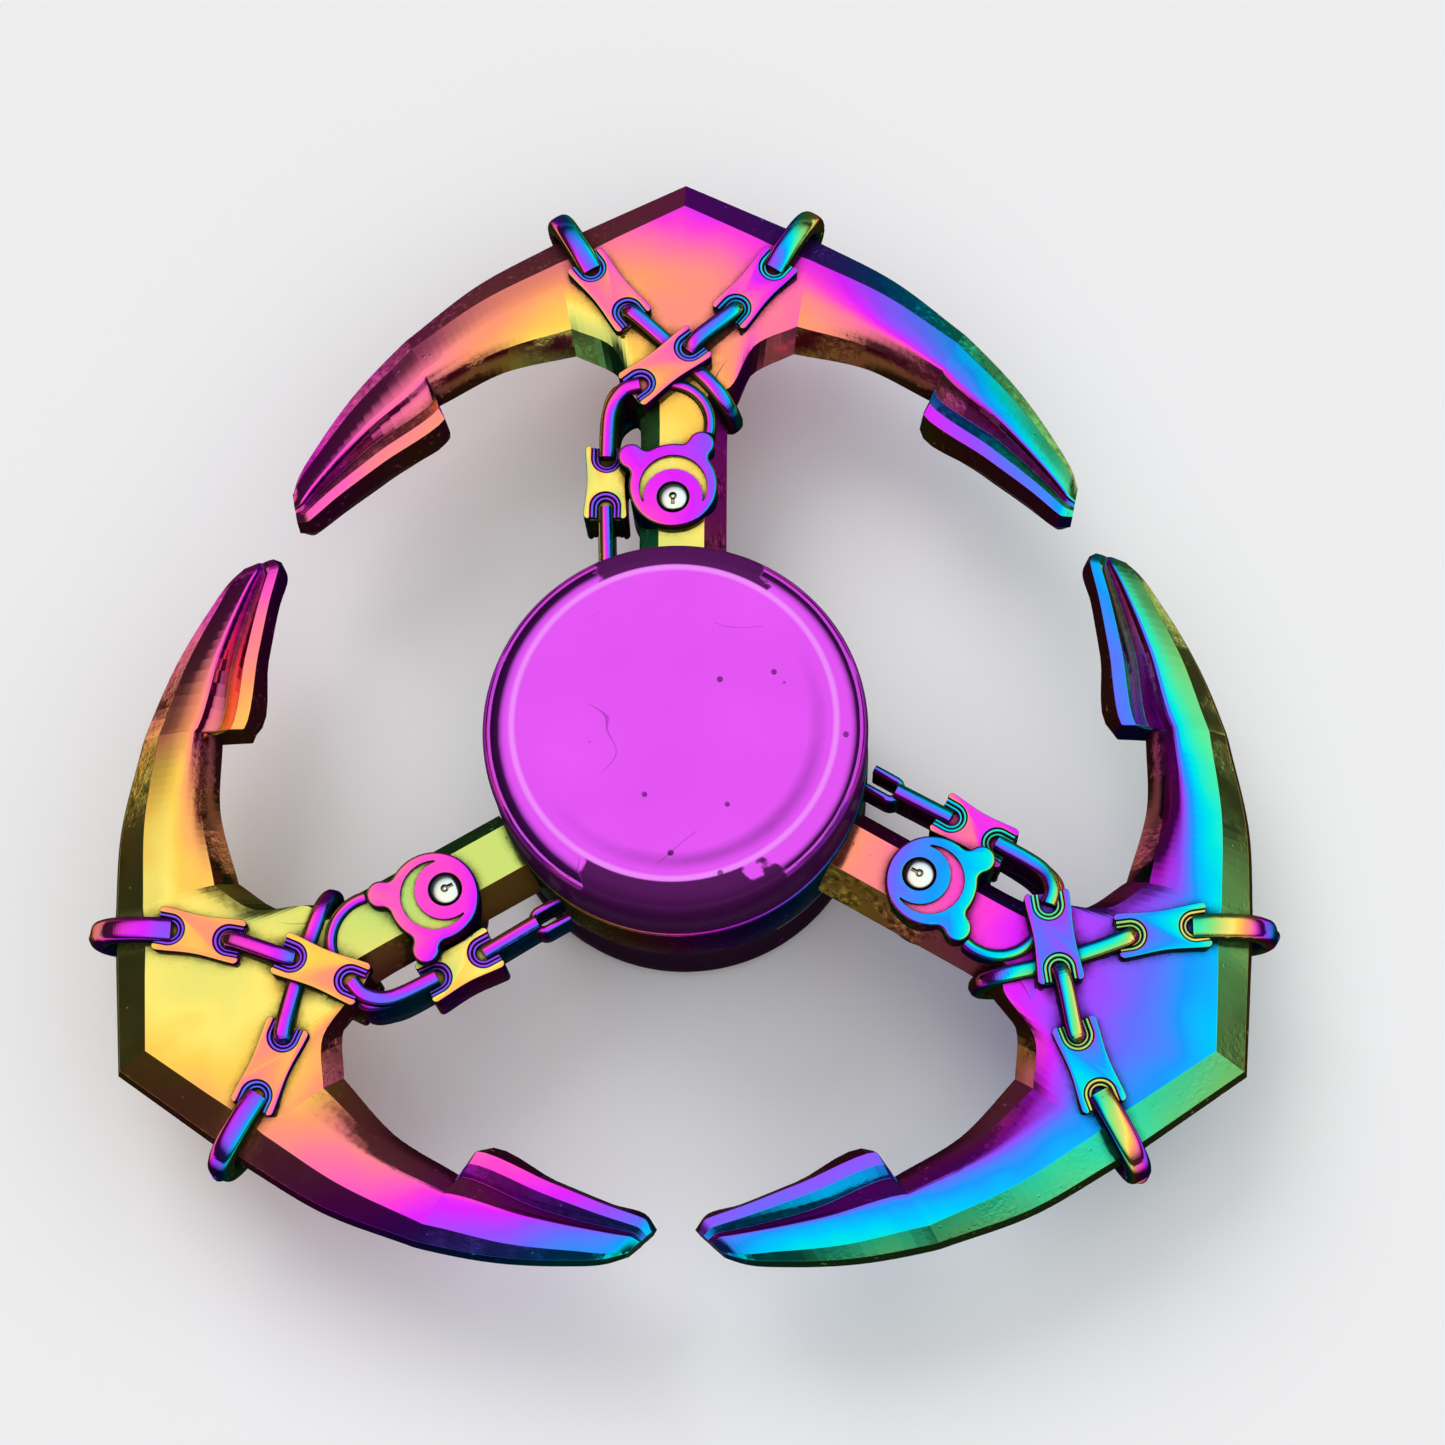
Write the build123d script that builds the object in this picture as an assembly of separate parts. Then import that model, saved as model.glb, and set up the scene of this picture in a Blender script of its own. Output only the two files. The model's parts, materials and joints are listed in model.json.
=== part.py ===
"""Three-armed fidget spinner: anchor-shaped arms wrapped in chain, on an R188 bearing between two caps.

Millimetres. The origin is the centre of the bearing, the spin axis is Z and the spinner lies flat, on the
rim of its bottom cap. Arm 1 points along +Y. An arm is drawn once, pointing along +Y, and turned to its
place; its relief is the same on both faces of the mid-plane Z = 0.
"""
from build123d import *
from math import cos, hypot, pi, radians, sin, sqrt
import os

# ---- driving dimensions ----
ARMS = 3
CROWN_R = 37.0            # spin axis to the tip of an anchor's crown
BEARING_OD = 12.7         # R188 bearing
BEARING_BORE = 6.35
BEARING_W = 4.762
BALL_D = 1.588
BALLS = 10
CAP_R = 10.86
CAP_TOP = 8.6             # from the mid-plane to a cap's rim
HUB_GAP = 0.3             # between a cap and the spinning hub

# ---- sizes that follow from them ----
HALF_W = BEARING_W / 2
BORE_R = BEARING_BORE / 2
RACE_R = BEARING_OD / 2
PITCH_R = (BORE_R + RACE_R) / 2
BALL_R = BALL_D / 2
HUB_R = CAP_R + 0.04

# ---- bearing sections ----
GROOVE_R = BALL_R * 1.04
INNER_SHOULDER_R = PITCH_R - 0.81
OUTER_SHOULDER_R = PITCH_R + 0.81
REBATE_R, REBATE_DEPTH = 5.95, 0.5
SHIELD_INNER_R, SHIELD_T = INNER_SHOULDER_R + 0.12, 0.18
SNAP_WIRE_T, SNAP_GAP_DEG = 0.22, 24
CAGE_R, CAGE_T, CAGE_LOW, CAGE_HIGH = PITCH_R, 0.62, -1.15, 0.85
POCKET_PLAY = 0.06

# ---- caps ----
CAP_LOW = HALF_W + HUB_GAP
RIM_R, RIM_LAND = 9.23, 0.3
SHOULDER_DROP = CAP_R - RIM_R
DISH_SLOPE, DISH_EDGE, DISH_FLOOR = 0.9, 0.3, 0.55    # width of the slope inside the rim, and two depths
CAP_WALL = 1.2
SLEEVE_R, STUD_R, STUD_BORE_R = BORE_R - 0.01, 2.05, 2.10
SHOULDER_R = INNER_SHOULDER_R - 0.15
BOSS_R = 4.8

# ---- anchor: shank and flukes ----
SHANK_TOP_HALF, SHANK_MID_HALF, SHANK_H = 1.35, 2.6, 2.1
SHANK_END = 30.0
EDGE_H = 0.85             # height of the upright outer side of a fluke
BARB_SIDE = 0.32          # width of the barb's sloping inner side
SECTIONS_PER_ROW = 4      # sections drawn between two rows of the tables below
# The crown, whose outer edge is straight from the apex to where the chain turns over it. Each row: the
# outer and inner end of a section in plan; how far in from the outer end the bevel and the ridge lie;
# their heights; the width of the sloping inner side and the height of its top.
CROWN = [
    (0.0, CROWN_R, 0.0, 20.6, 2.2, 5.0, 2.0, 2.1, 1.3, 2.1),
    (4.0, 35.1, 2.7, 21.6, 2.2, 5.0, 2.0, 2.1, 1.3, 2.0),
    (6.0, 34.15, 4.0, 24.4, 2.2, 4.6, 1.95, 2.1, 1.3, 1.7),
    (8.0, 33.2, 6.6, 25.8, 2.1, 3.9, 1.9, 2.1, 1.3, 1.35),
]
# The fluke from the crown to the notch, in the same columns.
FLUKE = [
    CROWN[-1],
    (12.7, 30.5, 10.6, 24.9, 1.8, 3.6, 1.85, 2.1, 0.9, 1.2),
    (17.0, 26.9, 14.9, 22.6, 1.3, 2.9, 1.6, 2.0, 0.6, 1.15),
]
# The fluke past the notch, with the barb along its inner side. Each row: outer end, groove and inner
# end in plan, then the heights of the bevel, the ridge, the groove and the barb, and the barb's width.
BARBED = [
    (16.9, 27.0, 15.0, 22.9, 14.4, 21.75, 1.6, 2.0, 1.0, 1.2, 0.35),
    (17.3, 26.6, 15.4, 22.6, 14.15, 20.9, 1.6, 2.0, 1.0, 1.5, 0.7),
    (20.1, 23.3, 18.7, 20.2, 17.8, 18.05, 1.4, 1.9, 0.95, 1.5, 0.75),
    (22.2, 20.0, 21.1, 17.8, 20.5, 15.95, 1.25, 1.7, 0.95, 1.4, 0.7),
    (23.25, 17.9, 22.6, 16.1, 22.15, 14.55, 1.1, 1.45, 0.95, 1.25, 0.6),
    (23.45, 17.0, 23.3, 15.8, 22.95, 14.45, 0.85, 1.0, 0.8, 0.9, 0.4),
]

# ---- shackle at the hub end of the shank ----
BOSS_AT, BOSS_DISC_R, BOSS_TOP = (-0.5, 16.35), 2.62, 2.8
EARS, EAR_R, EAR_NECK = ((-3.0, 18.2), (1.15, 18.95)), 0.78, 1.2
MOON_OUTER_AT, MOON_OUTER_R = (-0.48, 16.2), 2.02
MOON_INNER_AT, MOON_INNER_R = (-0.48, 15.6), 1.74
MOON_DEPTH = 0.25
PIN_AT, PIN_R, PIN_SOCKET_R, PIN_DOME = (-0.48, 15.57), 0.92, 0.98, 0.32
BOW_AT, BOW_R, BOW_W, BOW_TOP = (-0.95, 20.4), 2.6, 0.65, 2.45

# ---- chain ----
PLATE_W, PLATE_T, PLATE_CORNER = 2.45, 1.4, 0.55
WAIST_R, WAIST_DEPTH = 3.0, 0.16
EYE_IN = 1.05             # an eye's distance from the end of its plate
EYE_GROOVE_R, EYE_GROOVE_W, EYE_GROOVE_DEPTH = 0.82, 0.34, 0.3
ROD_R = 0.45
WRAP_R = 0.6
# The flat links that lie on the anchor: the two eyes in plan, and the height of the top.
CROWN_PLATES = [((-5.5, 30.7), (-3.55, 27.95), 2.65), ((5.4, 30.65), (3.45, 27.9), 2.65)]
CROSS_PLATE = ((0.5, 25.25), (-2.4, 23.15), 3.0)
SIDE_PLATE = ((-4.6, 18.45), (-4.6, 15.3), 1.75)
WRAP_OUT = (7.9, 34.4)    # where a strand turns over the outer edge of the crown
UNDER_ROD_END = (3.0, 21.2)
HUB_ROD_END = (-4.45, 11.9)
FORK_HALF = 0.6


def export(shape, name):
    export_step(shape, f"parts/{name}.step")


def both_sides(shape):
    """A relief and the same one on the other side of the mid-plane."""
    return shape + shape.mirror(Plane.XY)


def turned(profile):
    """A solid of revolution about Z from a closed (radius, z) sketch on the XZ plane."""
    return revolve(Plane.XZ * profile, Axis.Z)


def ring(inner, outer, low, high):
    return extrude(Circle(outer) - Circle(inner), high - low).moved(Location((0, 0, low)))


# ---- bearing ----
def race_groove():
    return turned(Pos(PITCH_R, 0) * Circle(GROOVE_R))


def bearing_inner_ring():
    return ring(BORE_R, INNER_SHOULDER_R, -HALF_W, HALF_W) - race_groove()


def bearing_outer_ring():
    body = ring(OUTER_SHOULDER_R, RACE_R, -HALF_W, HALF_W) - race_groove()
    rebate = ring(OUTER_SHOULDER_R - 0.1, REBATE_R, HALF_W - REBATE_DEPTH, HALF_W)
    return body - both_sides(rebate)


def ball_places():
    for i in range(BALLS):
        angle = 2 * pi * i / BALLS
        yield PITCH_R * cos(angle), PITCH_R * sin(angle)


def cage():
    band = ring(CAGE_R - CAGE_T / 2, CAGE_R + CAGE_T / 2, CAGE_LOW, CAGE_HIGH)
    for x, y in ball_places():
        band -= Pos(x, y, 0) * Sphere(BALL_R + POCKET_PLAY)
    return band


def shield():
    return ring(SHIELD_INNER_R, REBATE_R, HALF_W - REBATE_DEPTH, HALF_W - REBATE_DEPTH + SHIELD_T)


def snap_wire():
    low = HALF_W - REBATE_DEPTH + SHIELD_T
    wire = ring(REBATE_R - SNAP_WIRE_T, REBATE_R, low, low + SNAP_WIRE_T)
    gap = 2 * REBATE_R * sin(radians(SNAP_GAP_DEG / 2))
    return wire - Pos(REBATE_R, 0, low) * Box(REBATE_R, gap, 1)


# ---- caps ----
def bowl_arc(edge, floor):
    """The arc of a shallow bowl whose centre is on the axis, from its edge to its floor."""
    depth = edge[1] - floor[1]
    radius = (edge[0] ** 2 + depth ** 2) / (2 * depth)
    halfway = edge[0] / 2
    return ThreePointArc(edge, (halfway, floor[1] + radius - sqrt(radius ** 2 - halfway ** 2)), floor)


def cap(core):
    """A turned cap drawn above the hub: a dished face in a rim, a round shoulder, a hollow underside.

    core is the run of (radius, z) points from the axis to the shoulder that bears on the inner ring.
    """
    wall_top = CAP_TOP - SHOULDER_DROP
    roof = wall_top - 0.2
    rim_in = RIM_R - RIM_LAND
    edge = (rim_in - DISH_SLOPE, CAP_TOP - DISH_EDGE)
    floor = (0, CAP_TOP - DISH_FLOOR)
    with BuildSketch() as outline:
        with BuildLine():
            Polyline(*core, (SHOULDER_R, HALF_W), (SHOULDER_R, CAP_LOW), (BOSS_R, CAP_LOW), (BOSS_R, roof),
                     (CAP_R - CAP_WALL, roof), (CAP_R - CAP_WALL, CAP_LOW), (CAP_R, CAP_LOW), (CAP_R, wall_top))
            CenterArc((RIM_R, wall_top), SHOULDER_DROP, 0, 90)
            Line((RIM_R, CAP_TOP), (rim_in, CAP_TOP))
            Line((rim_in, CAP_TOP), edge)
            bowl_arc(edge, floor)
            Line(floor, core[0])
        make_face()
    return turned(outline.sketch)


def top_cap():
    """The cap with the stud that screws into the bottom cap's sleeve."""
    stud_end = -HALF_W + 0.4
    return cap([(0, stud_end), (STUD_R, stud_end), (STUD_R, HALF_W)])


def bottom_cap():
    """The cap with the sleeve that fills the bearing's bore."""
    return cap([(0, CAP_LOW), (STUD_BORE_R, CAP_LOW), (STUD_BORE_R, -HALF_W), (SLEEVE_R, -HALF_W),
                (SLEEVE_R, HALF_W)]).mirror(Plane.XY)


# ---- spinning casting ----
def hub_ring():
    body = ring(RACE_R, HUB_R, -HALF_W, HALF_W)
    rims = body.edges().filter_by(GeomType.CIRCLE).sort_by(SortBy.RADIUS)[-2:]
    return chamfer(rims, 0.25)


def plan_run(a, b):
    return hypot(b[0] - a[0], b[1] - a[1])


def slopes(places, values):
    """Slopes at the table's rows for a smooth line that doesn't swing past them."""
    rises = [(values[i + 1] - values[i]) / (places[i + 1] - places[i]) for i in range(len(values) - 1)]
    inner = [2 * a * b / (a + b) if a * b > 0 else 0 for a, b in zip(rises, rises[1:])]
    return [rises[0]] + inner + [rises[-1]]


def filled_in(rows):
    """The table's rows with smoothly interpolated rows between them."""
    places = [0]
    for a, b in zip(rows, rows[1:]):
        places.append(places[-1] + plan_run(a[:2], b[:2]))
    columns = list(zip(*rows))
    column_slopes = [slopes(places, column) for column in columns]
    for i in range(len(rows) - 1):
        span = places[i + 1] - places[i]
        for step in range(SECTIONS_PER_ROW):
            t = step / SECTIONS_PER_ROW
            yield [
                (1 + 2 * t) * (1 - t) ** 2 * c[i] + t * (1 - t) ** 2 * span * m[i]
                + t * t * (3 - 2 * t) * c[i + 1] - t * t * (1 - t) * span * m[i + 1]
                for c, m in zip(columns, column_slopes)]
    yield rows[-1]


def section(outer, inner, half_profile):
    """A closed wire in the upright plane through two plan points, from (distance in, height) points."""
    run = plan_run(outer, inner)
    step = ((inner[0] - outer[0]) / run, (inner[1] - outer[1]) / run)
    upper = [(0, 0)] + half_profile + [(run, 0)]
    lower = [(d, -h) for d, h in reversed(half_profile)]
    return Wire.make_polygon(
        [Vector(outer[0] + step[0] * d, outer[1] + step[1] * d, h) for d, h in upper + lower], close=True)


def plain_loft(rows):
    """The crown, or the fluke before its notch: upright outer side, bevel, face, ridge and sloping inner side."""
    wires = []
    for ox, oy, ix, iy, bevel, ridge, bevel_h, ridge_h, slope, inner_h in filled_in(rows):
        run = plan_run((ox, oy), (ix, iy))
        profile = [(0.3, EDGE_H), (bevel, bevel_h), (ridge, ridge_h), (run - slope, inner_h)]
        wires.append(section((ox, oy), (ix, iy), profile))
    return Solid.make_loft(wires, ruled=True)


def barbed_loft():
    """The fluke past its notch: as before it, but the inner face runs down to a groove and up to the barb."""
    wires = []
    for ox, oy, gx, gy, ix, iy, bevel_h, ridge_h, groove_h, barb_h, barb_w in filled_in(BARBED):
        run = plan_run((ox, oy), (ix, iy))
        groove = run - plan_run((gx, gy), (ix, iy))
        barb = max(run - BARB_SIDE - barb_w, groove + 0.1)
        profile = [(0.25, EDGE_H * bevel_h / BARBED[0][6]), (groove * 0.32, bevel_h), (groove * 0.62, ridge_h),
                   (groove, groove_h), (barb, barb_h), (run - BARB_SIDE, barb_h)]
        wires.append(section((ox, oy), (ix, iy), profile))
    return Solid.make_loft(wires, ruled=True)


def shank():
    half = [(-SHANK_TOP_HALF, SHANK_H), (SHANK_TOP_HALF, SHANK_H), (SHANK_MID_HALF, 0)]
    outline = half + [(SHANK_TOP_HALF, -SHANK_H), (-SHANK_TOP_HALF, -SHANK_H), (-SHANK_MID_HALF, 0)]
    face = make_face(Polyline(*outline, close=True).edges())
    return extrude(Plane.XZ * face, -SHANK_END) - Cylinder(HUB_R, 4 * HALF_W)


def anchor_blank():
    right = plain_loft(CROWN) + plain_loft(FLUKE) + barbed_loft()
    return shank() + right + right.mirror(Plane.YZ)


def boss_outline():
    outline = Pos(*BOSS_AT) * Circle(BOSS_DISC_R)
    for ear in EARS:
        reach = Vector(*ear) - Vector(*BOSS_AT)
        turn = reach.get_signed_angle(Vector(1, 0), Vector(0, 0, -1))
        neck = Pos(*BOSS_AT) * Rot(0, 0, turn) * Pos(reach.length / 2, 0) * Rectangle(reach.length, EAR_NECK)
        outline += neck + Pos(*ear) * Circle(EAR_R)
    return outline


def shackle_boss():
    """The eared disc with a crescent recess and the socket of its pin."""
    disc = extrude(boss_outline(), 2 * BOSS_TOP).moved(Location((0, 0, -BOSS_TOP)))
    moon = Pos(*MOON_OUTER_AT) * Circle(MOON_OUTER_R) - Pos(*MOON_INNER_AT) * Circle(MOON_INNER_R)
    cut = extrude(moon, MOON_DEPTH).moved(Location((0, 0, BOSS_TOP - MOON_DEPTH)))
    socket = Pos(*PIN_AT, BOSS_TOP - 0.2) * Cylinder(PIN_SOCKET_R, 0.4)
    bow_sketch = Pos(*BOW_AT) * (Circle(BOW_R + BOW_W / 2) - Circle(BOW_R - BOW_W / 2))
    bow_sketch &= Pos(BOW_AT[0] + BOW_R, BOW_AT[1] + BOW_R) * Rectangle(2 * BOW_R, 2 * BOW_R)
    bow = extrude(bow_sketch, 2 * BOW_TOP).moved(Location((0, 0, -BOW_TOP)))
    return disc + bow - both_sides(cut) - both_sides(socket)


def shackle_pin():
    """The pin's two domed heads, in the sockets on both faces."""
    dome_r = (PIN_R ** 2 + PIN_DOME ** 2) / (2 * PIN_DOME)
    base = BOSS_TOP - 0.4
    barrel = Pos(0, 0, base + 0.3) * Cylinder(PIN_R, 0.6)
    dome = Pos(0, 0, base + 0.3 + PIN_DOME - dome_r) * Sphere(dome_r)
    dimple = Pos(0, 0, base + 0.3 + PIN_DOME) * Cylinder(0.2, 0.3)
    head = (barrel & dome) - dimple
    return both_sides(head.moved(Location((*PIN_AT, 0))))


# ---- chain ----
def plate(eye_a, eye_b, top, depth=PLATE_T):
    """A flat link between two eyes, with a waist and a stepped groove round each eye."""
    span = plan_run(eye_a, eye_b)
    length = span + 2 * EYE_IN
    outline = RectangleRounded(length, PLATE_W, PLATE_CORNER)
    for side in (-1, 1):
        outline -= Pos(0, side * (PLATE_W / 2 + WAIST_R - WAIST_DEPTH)) * Circle(WAIST_R)
    link = extrude(outline, depth).moved(Location((0, 0, top - depth)))
    for side in (-1, 1):
        eye = Pos(side * span / 2, 0) * (
            Circle(EYE_GROOVE_R + EYE_GROOVE_W / 2) - Circle(EYE_GROOVE_R - EYE_GROOVE_W / 2))
        eye -= Pos(side * (span / 2 + EYE_GROOVE_R), 0) * Rectangle(EYE_GROOVE_R, 2 * EYE_GROOVE_R)
        link -= extrude(eye, EYE_GROOVE_DEPTH).moved(Location((0, 0, top - EYE_GROOVE_DEPTH)))
    return placed(link, eye_a, eye_b)


def placed(shape, a, b):
    """Moves a shape drawn along X about the origin onto the line between two plan points."""
    reach = Vector(*b) - Vector(*a)
    turn = reach.get_signed_angle(Vector(1, 0), Vector(0, 0, -1))
    return shape.moved(Location(((a[0] + b[0]) / 2, (a[1] + b[1]) / 2, 0), (0, 0, turn)))


def rod(points, radius=ROD_R):
    """A round bar along a smooth line through points in space."""
    path = Edge.make_line(*points) if len(points) == 2 else Edge.make_spline([Vector(*p) for p in points])
    start = Plane(origin=path @ 0, z_dir=path % 0)
    return sweep(start * Circle(radius), path=path)


def web(points, top, width=2 * ROD_R):
    """An edge-on link beside the shank: a wall of one width through the whole thickness."""
    path = Edge.make_line(*points) if len(points) == 2 else Edge.make_spline([Vector(*p) for p in points])
    start = Plane(origin=path @ 0, x_dir=(0, 0, 1), z_dir=path % 0)
    return sweep(start * Rectangle(2 * top, width), path=path)


def crown_wrap(side):
    """The strand from the crown plate's outer eye over the crown's edge to the other face."""
    eye = CROWN_PLATES[0 if side < 0 else 1][0]
    x, y = side * WRAP_OUT[0], WRAP_OUT[1]
    upper = [(eye[0], eye[1], 2.45), ((eye[0] + x) / 2, (eye[1] + y) / 2, 2.25), (x - side * 0.35, y - 0.6, 1.4)]
    lower = [(px, py, -pz) for px, py, pz in reversed(upper)]
    return rod(upper + [(x, y, 0)] + lower, WRAP_R)


def strands():
    """All the links of one arm before they are trimmed to the anchor under them."""
    right_eye, left_eye = CROWN_PLATES[1][1], CROWN_PLATES[0][1]
    relief = plate(*CROSS_PLATE, depth=1.1)
    for eyes in CROWN_PLATES:
        relief += plate(*eyes)
    cross_eye = CROSS_PLATE[0]
    relief += rod([(*right_eye, 2.5), (*cross_eye, 2.8)])
    relief += rod([(*left_eye, 2.5), (-1.5, 26.2, 2.2), (1.3, 23.8, 1.7), (*UNDER_ROD_END, 0.9)])
    links = both_sides(relief)
    for side in (-1, 1):
        links += crown_wrap(side)
    side_link = both_sides(plate(*SIDE_PLATE, depth=SIDE_PLATE[2]))
    bowed = web([(*CROSS_PLATE[1], 0), (-3.9, 22.6, 0), (-4.45, 20.9, 0), (*SIDE_PLATE[0], 0)], 2.1)
    straight = web([(*SIDE_PLATE[1], 0), (*HUB_ROD_END, 0)], 1.7)
    links += side_link + bowed + straight
    for side in (-1, 1):
        prong = Pos(HUB_ROD_END[0] + side * FORK_HALF, HUB_ROD_END[1] - 1.0, 0) * Box(0.5, 2.4, 2.6)
        links += prong
    links += Pos(HUB_ROD_END[0], HUB_ROD_END[1] + 0.1, 0) * Box(2 * FORK_HALF + 0.5, 0.55, 2.6)
    return links - Cylinder(HUB_R, 4 * HALF_W)


def arm_parts():
    blank = anchor_blank()
    boss = shackle_boss()
    pin = shackle_pin()
    links = strands() - boss - blank
    return {"anchor": blank - boss, "shackle": boss, "shackle_pin": pin, "chain": links}


def main():
    os.makedirs("parts", exist_ok=True)
    export(top_cap(), "top_cap")
    export(bottom_cap(), "bottom_cap")
    export(bearing_inner_ring(), "bearing_inner_ring")
    export(bearing_outer_ring(), "bearing_outer_ring")
    for i, (x, y) in enumerate(ball_places()):
        export(Pos(x, y, 0) * Sphere(BALL_R), f"ball_{i + 1}")
    export(cage(), "ball_cage")
    export(shield(), "shield_top")
    export(shield().mirror(Plane.XY), "shield_bottom")
    export(snap_wire(), "snap_wire_top")
    export(snap_wire().mirror(Plane.XY), "snap_wire_bottom")
    export(hub_ring(), "hub_ring")
    arm = arm_parts()
    for i in range(ARMS):
        for name, shape in arm.items():
            export(shape.rotate(Axis.Z, 360 * i / ARMS), f"{name}_{i + 1}")


main()
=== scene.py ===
"""The looks of a fidget spinner: rainbow-plated anchor arms wrapped in chain, between two mirror caps.

Metres, in the frame's own axes: the spin axis is Z and arm 1 points along +Y. An arm's pieces are made
pointing along +Y and turned to their places. Sizes are given in a maker's millimetres, and MM turns them
into metres from the frame's own size.
"""

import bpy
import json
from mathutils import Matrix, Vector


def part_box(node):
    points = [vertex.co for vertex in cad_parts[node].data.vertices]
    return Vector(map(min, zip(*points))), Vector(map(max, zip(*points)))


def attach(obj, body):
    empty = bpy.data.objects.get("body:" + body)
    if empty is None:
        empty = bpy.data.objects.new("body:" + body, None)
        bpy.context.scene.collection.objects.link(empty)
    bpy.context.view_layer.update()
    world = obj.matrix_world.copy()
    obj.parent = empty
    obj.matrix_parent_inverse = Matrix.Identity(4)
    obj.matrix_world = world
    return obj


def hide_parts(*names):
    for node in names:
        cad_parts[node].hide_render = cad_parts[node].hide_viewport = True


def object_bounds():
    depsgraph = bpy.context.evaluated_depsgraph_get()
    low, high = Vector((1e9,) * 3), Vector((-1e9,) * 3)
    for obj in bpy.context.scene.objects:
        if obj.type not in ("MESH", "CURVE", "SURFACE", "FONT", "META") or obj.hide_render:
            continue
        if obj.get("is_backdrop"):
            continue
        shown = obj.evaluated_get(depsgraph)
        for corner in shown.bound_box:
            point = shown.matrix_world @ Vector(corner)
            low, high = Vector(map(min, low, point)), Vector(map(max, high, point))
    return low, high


bl_info = {
    "name": "Anchor Fidget Spinner",
    "version": (1, 0, 0),
    "blender": (4, 5, 0),
    "location": "3D View > Sidebar > Spinner",
    "description": "Builds the pieces and finishes of an anchor-armed fidget spinner on its CAD frame",
    "category": "Add Mesh",
}

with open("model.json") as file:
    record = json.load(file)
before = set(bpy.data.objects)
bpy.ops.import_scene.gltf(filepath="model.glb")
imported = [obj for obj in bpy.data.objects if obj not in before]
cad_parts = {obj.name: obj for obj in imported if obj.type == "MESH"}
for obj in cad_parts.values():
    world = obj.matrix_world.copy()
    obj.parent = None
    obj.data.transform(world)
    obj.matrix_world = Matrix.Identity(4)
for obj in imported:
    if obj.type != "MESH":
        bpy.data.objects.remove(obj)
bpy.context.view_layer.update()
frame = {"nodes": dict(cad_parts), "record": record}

import json
from math import atan2, cos, hypot, pi, radians, sin, sqrt

import bmesh
import bpy
from bpy.props import FloatProperty, FloatVectorProperty, IntProperty, PointerProperty
from mathutils import Matrix, Vector

CROWN_RADIUS = 37.0
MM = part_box("anchor_1")[1].y / CROWN_RADIUS
ARMS = 3
TURN = 2 * pi / ARMS
HUB_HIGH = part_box("hub_ring")[1].z / MM
HUB_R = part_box("hub_ring")[1].x / MM
CAP_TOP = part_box("top_cap")[1].z / MM
CAP_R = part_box("top_cap")[1].x / MM
PIN_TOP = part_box("shackle_pin_1")[1].z / MM
# Degrees between two faces above which an edge is rounded and stays crisp: anchors, links, all the rest.
CASTING_ANGLE, LINK_ANGLE, SMOOTH_ANGLE = 13, 40, 50

# ---- the anchor, in millimetres ----
# One row is a section through the arm, from its outer end to its inner end in plan. Then come pairs of
# distance in from the outer end and height: bevel, ridge, inner face, inner edge and two on the inner side.
CROWN_ROWS = [
    (0.0, 37.0, 0.0, 20.6, 2.2, 2.0, 5.0, 2.1, 9.0, 2.1, 15.1, 2.08, 15.5, 1.4, 15.95, 0.7),
    (4.0, 35.1, 2.7, 21.6, 2.2, 2.0, 5.0, 2.1, 8.5, 2.06, 12.3, 2.0, 12.7, 1.35, 13.15, 0.7),
    (6.0, 34.15, 4.0, 24.4, 2.2, 1.95, 4.6, 2.1, 6.8, 1.98, 8.7, 1.7, 9.1, 1.15, 9.5, 0.6),
    (8.0, 33.2, 6.6, 25.8, 2.1, 1.9, 3.9, 2.1, 5.2, 1.82, 6.3, 1.4, 6.75, 0.95, 7.15, 0.5),
]
FLUKE_ROWS = [
    CROWN_ROWS[-1],
    (12.7, 30.5, 10.6, 24.9, 1.8, 1.85, 3.6, 2.1, 4.5, 1.78, 5.1, 1.3, 5.4, 0.9, 5.7, 0.45),
    (17.0, 26.9, 14.9, 22.6, 1.3, 1.6, 3.1, 2.0, 3.7, 1.65, 4.15, 1.15, 4.4, 0.8, 4.6, 0.4),
]
# Past the notch the inner edge is a groove and the inner side's two points are the barb's crest.
BARB_ROWS = [
    (17.02, 26.88, 14.45, 21.65, 1.3, 1.6, 3.1, 2.0, 3.7, 1.65, 4.25, 1.1, 4.9, 1.2, 5.4, 1.1),
    (17.4, 26.5, 14.15, 20.85, 1.3, 1.58, 3.1, 1.98, 3.85, 1.5, 4.55, 1.0, 5.35, 1.5, 6.15, 1.5),
    (20.1, 23.3, 17.8, 18.05, 1.15, 1.4, 2.8, 1.85, 3.3, 1.4, 3.75, 0.95, 4.6, 1.5, 5.35, 1.5),
    (22.2, 20.0, 20.5, 15.95, 0.9, 1.25, 2.2, 1.65, 2.5, 1.3, 2.8, 0.95, 3.4, 1.4, 4.05, 1.4),
    (23.25, 17.9, 22.15, 14.55, 0.6, 1.1, 1.75, 1.35, 2.0, 1.12, 2.2, 0.95, 2.6, 1.22, 3.2, 1.22),
    (23.48, 16.9, 23.0, 14.5, 0.45, 0.85, 1.15, 1.0, 1.3, 0.88, 1.45, 0.8, 1.75, 0.9, 2.1, 0.85),
]
OUTER_SIDE = (0.3, 0.85)
FACE_STEPS = (4, 5, 5)     # points across the bevel-to-ridge, ridge-to-face and face-to-edge stretches
# The shank: distance from the spin axis, half width of the flat top, half width at the mid-plane, height.
SHANK_ROWS = [
    (10.7, 1.35, 2.6, 2.13), (20.0, 1.35, 2.6, 2.13), (21.6, 1.38, 2.68, 2.13), (23.0, 1.75, 3.05, 2.12),
    (24.1, 2.3, 3.62, 2.08), (24.8, 2.9, 4.2, 2.02), (25.4, 3.55, 4.9, 1.9), (25.8, 4.2, 5.7, 1.72),
]

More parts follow.
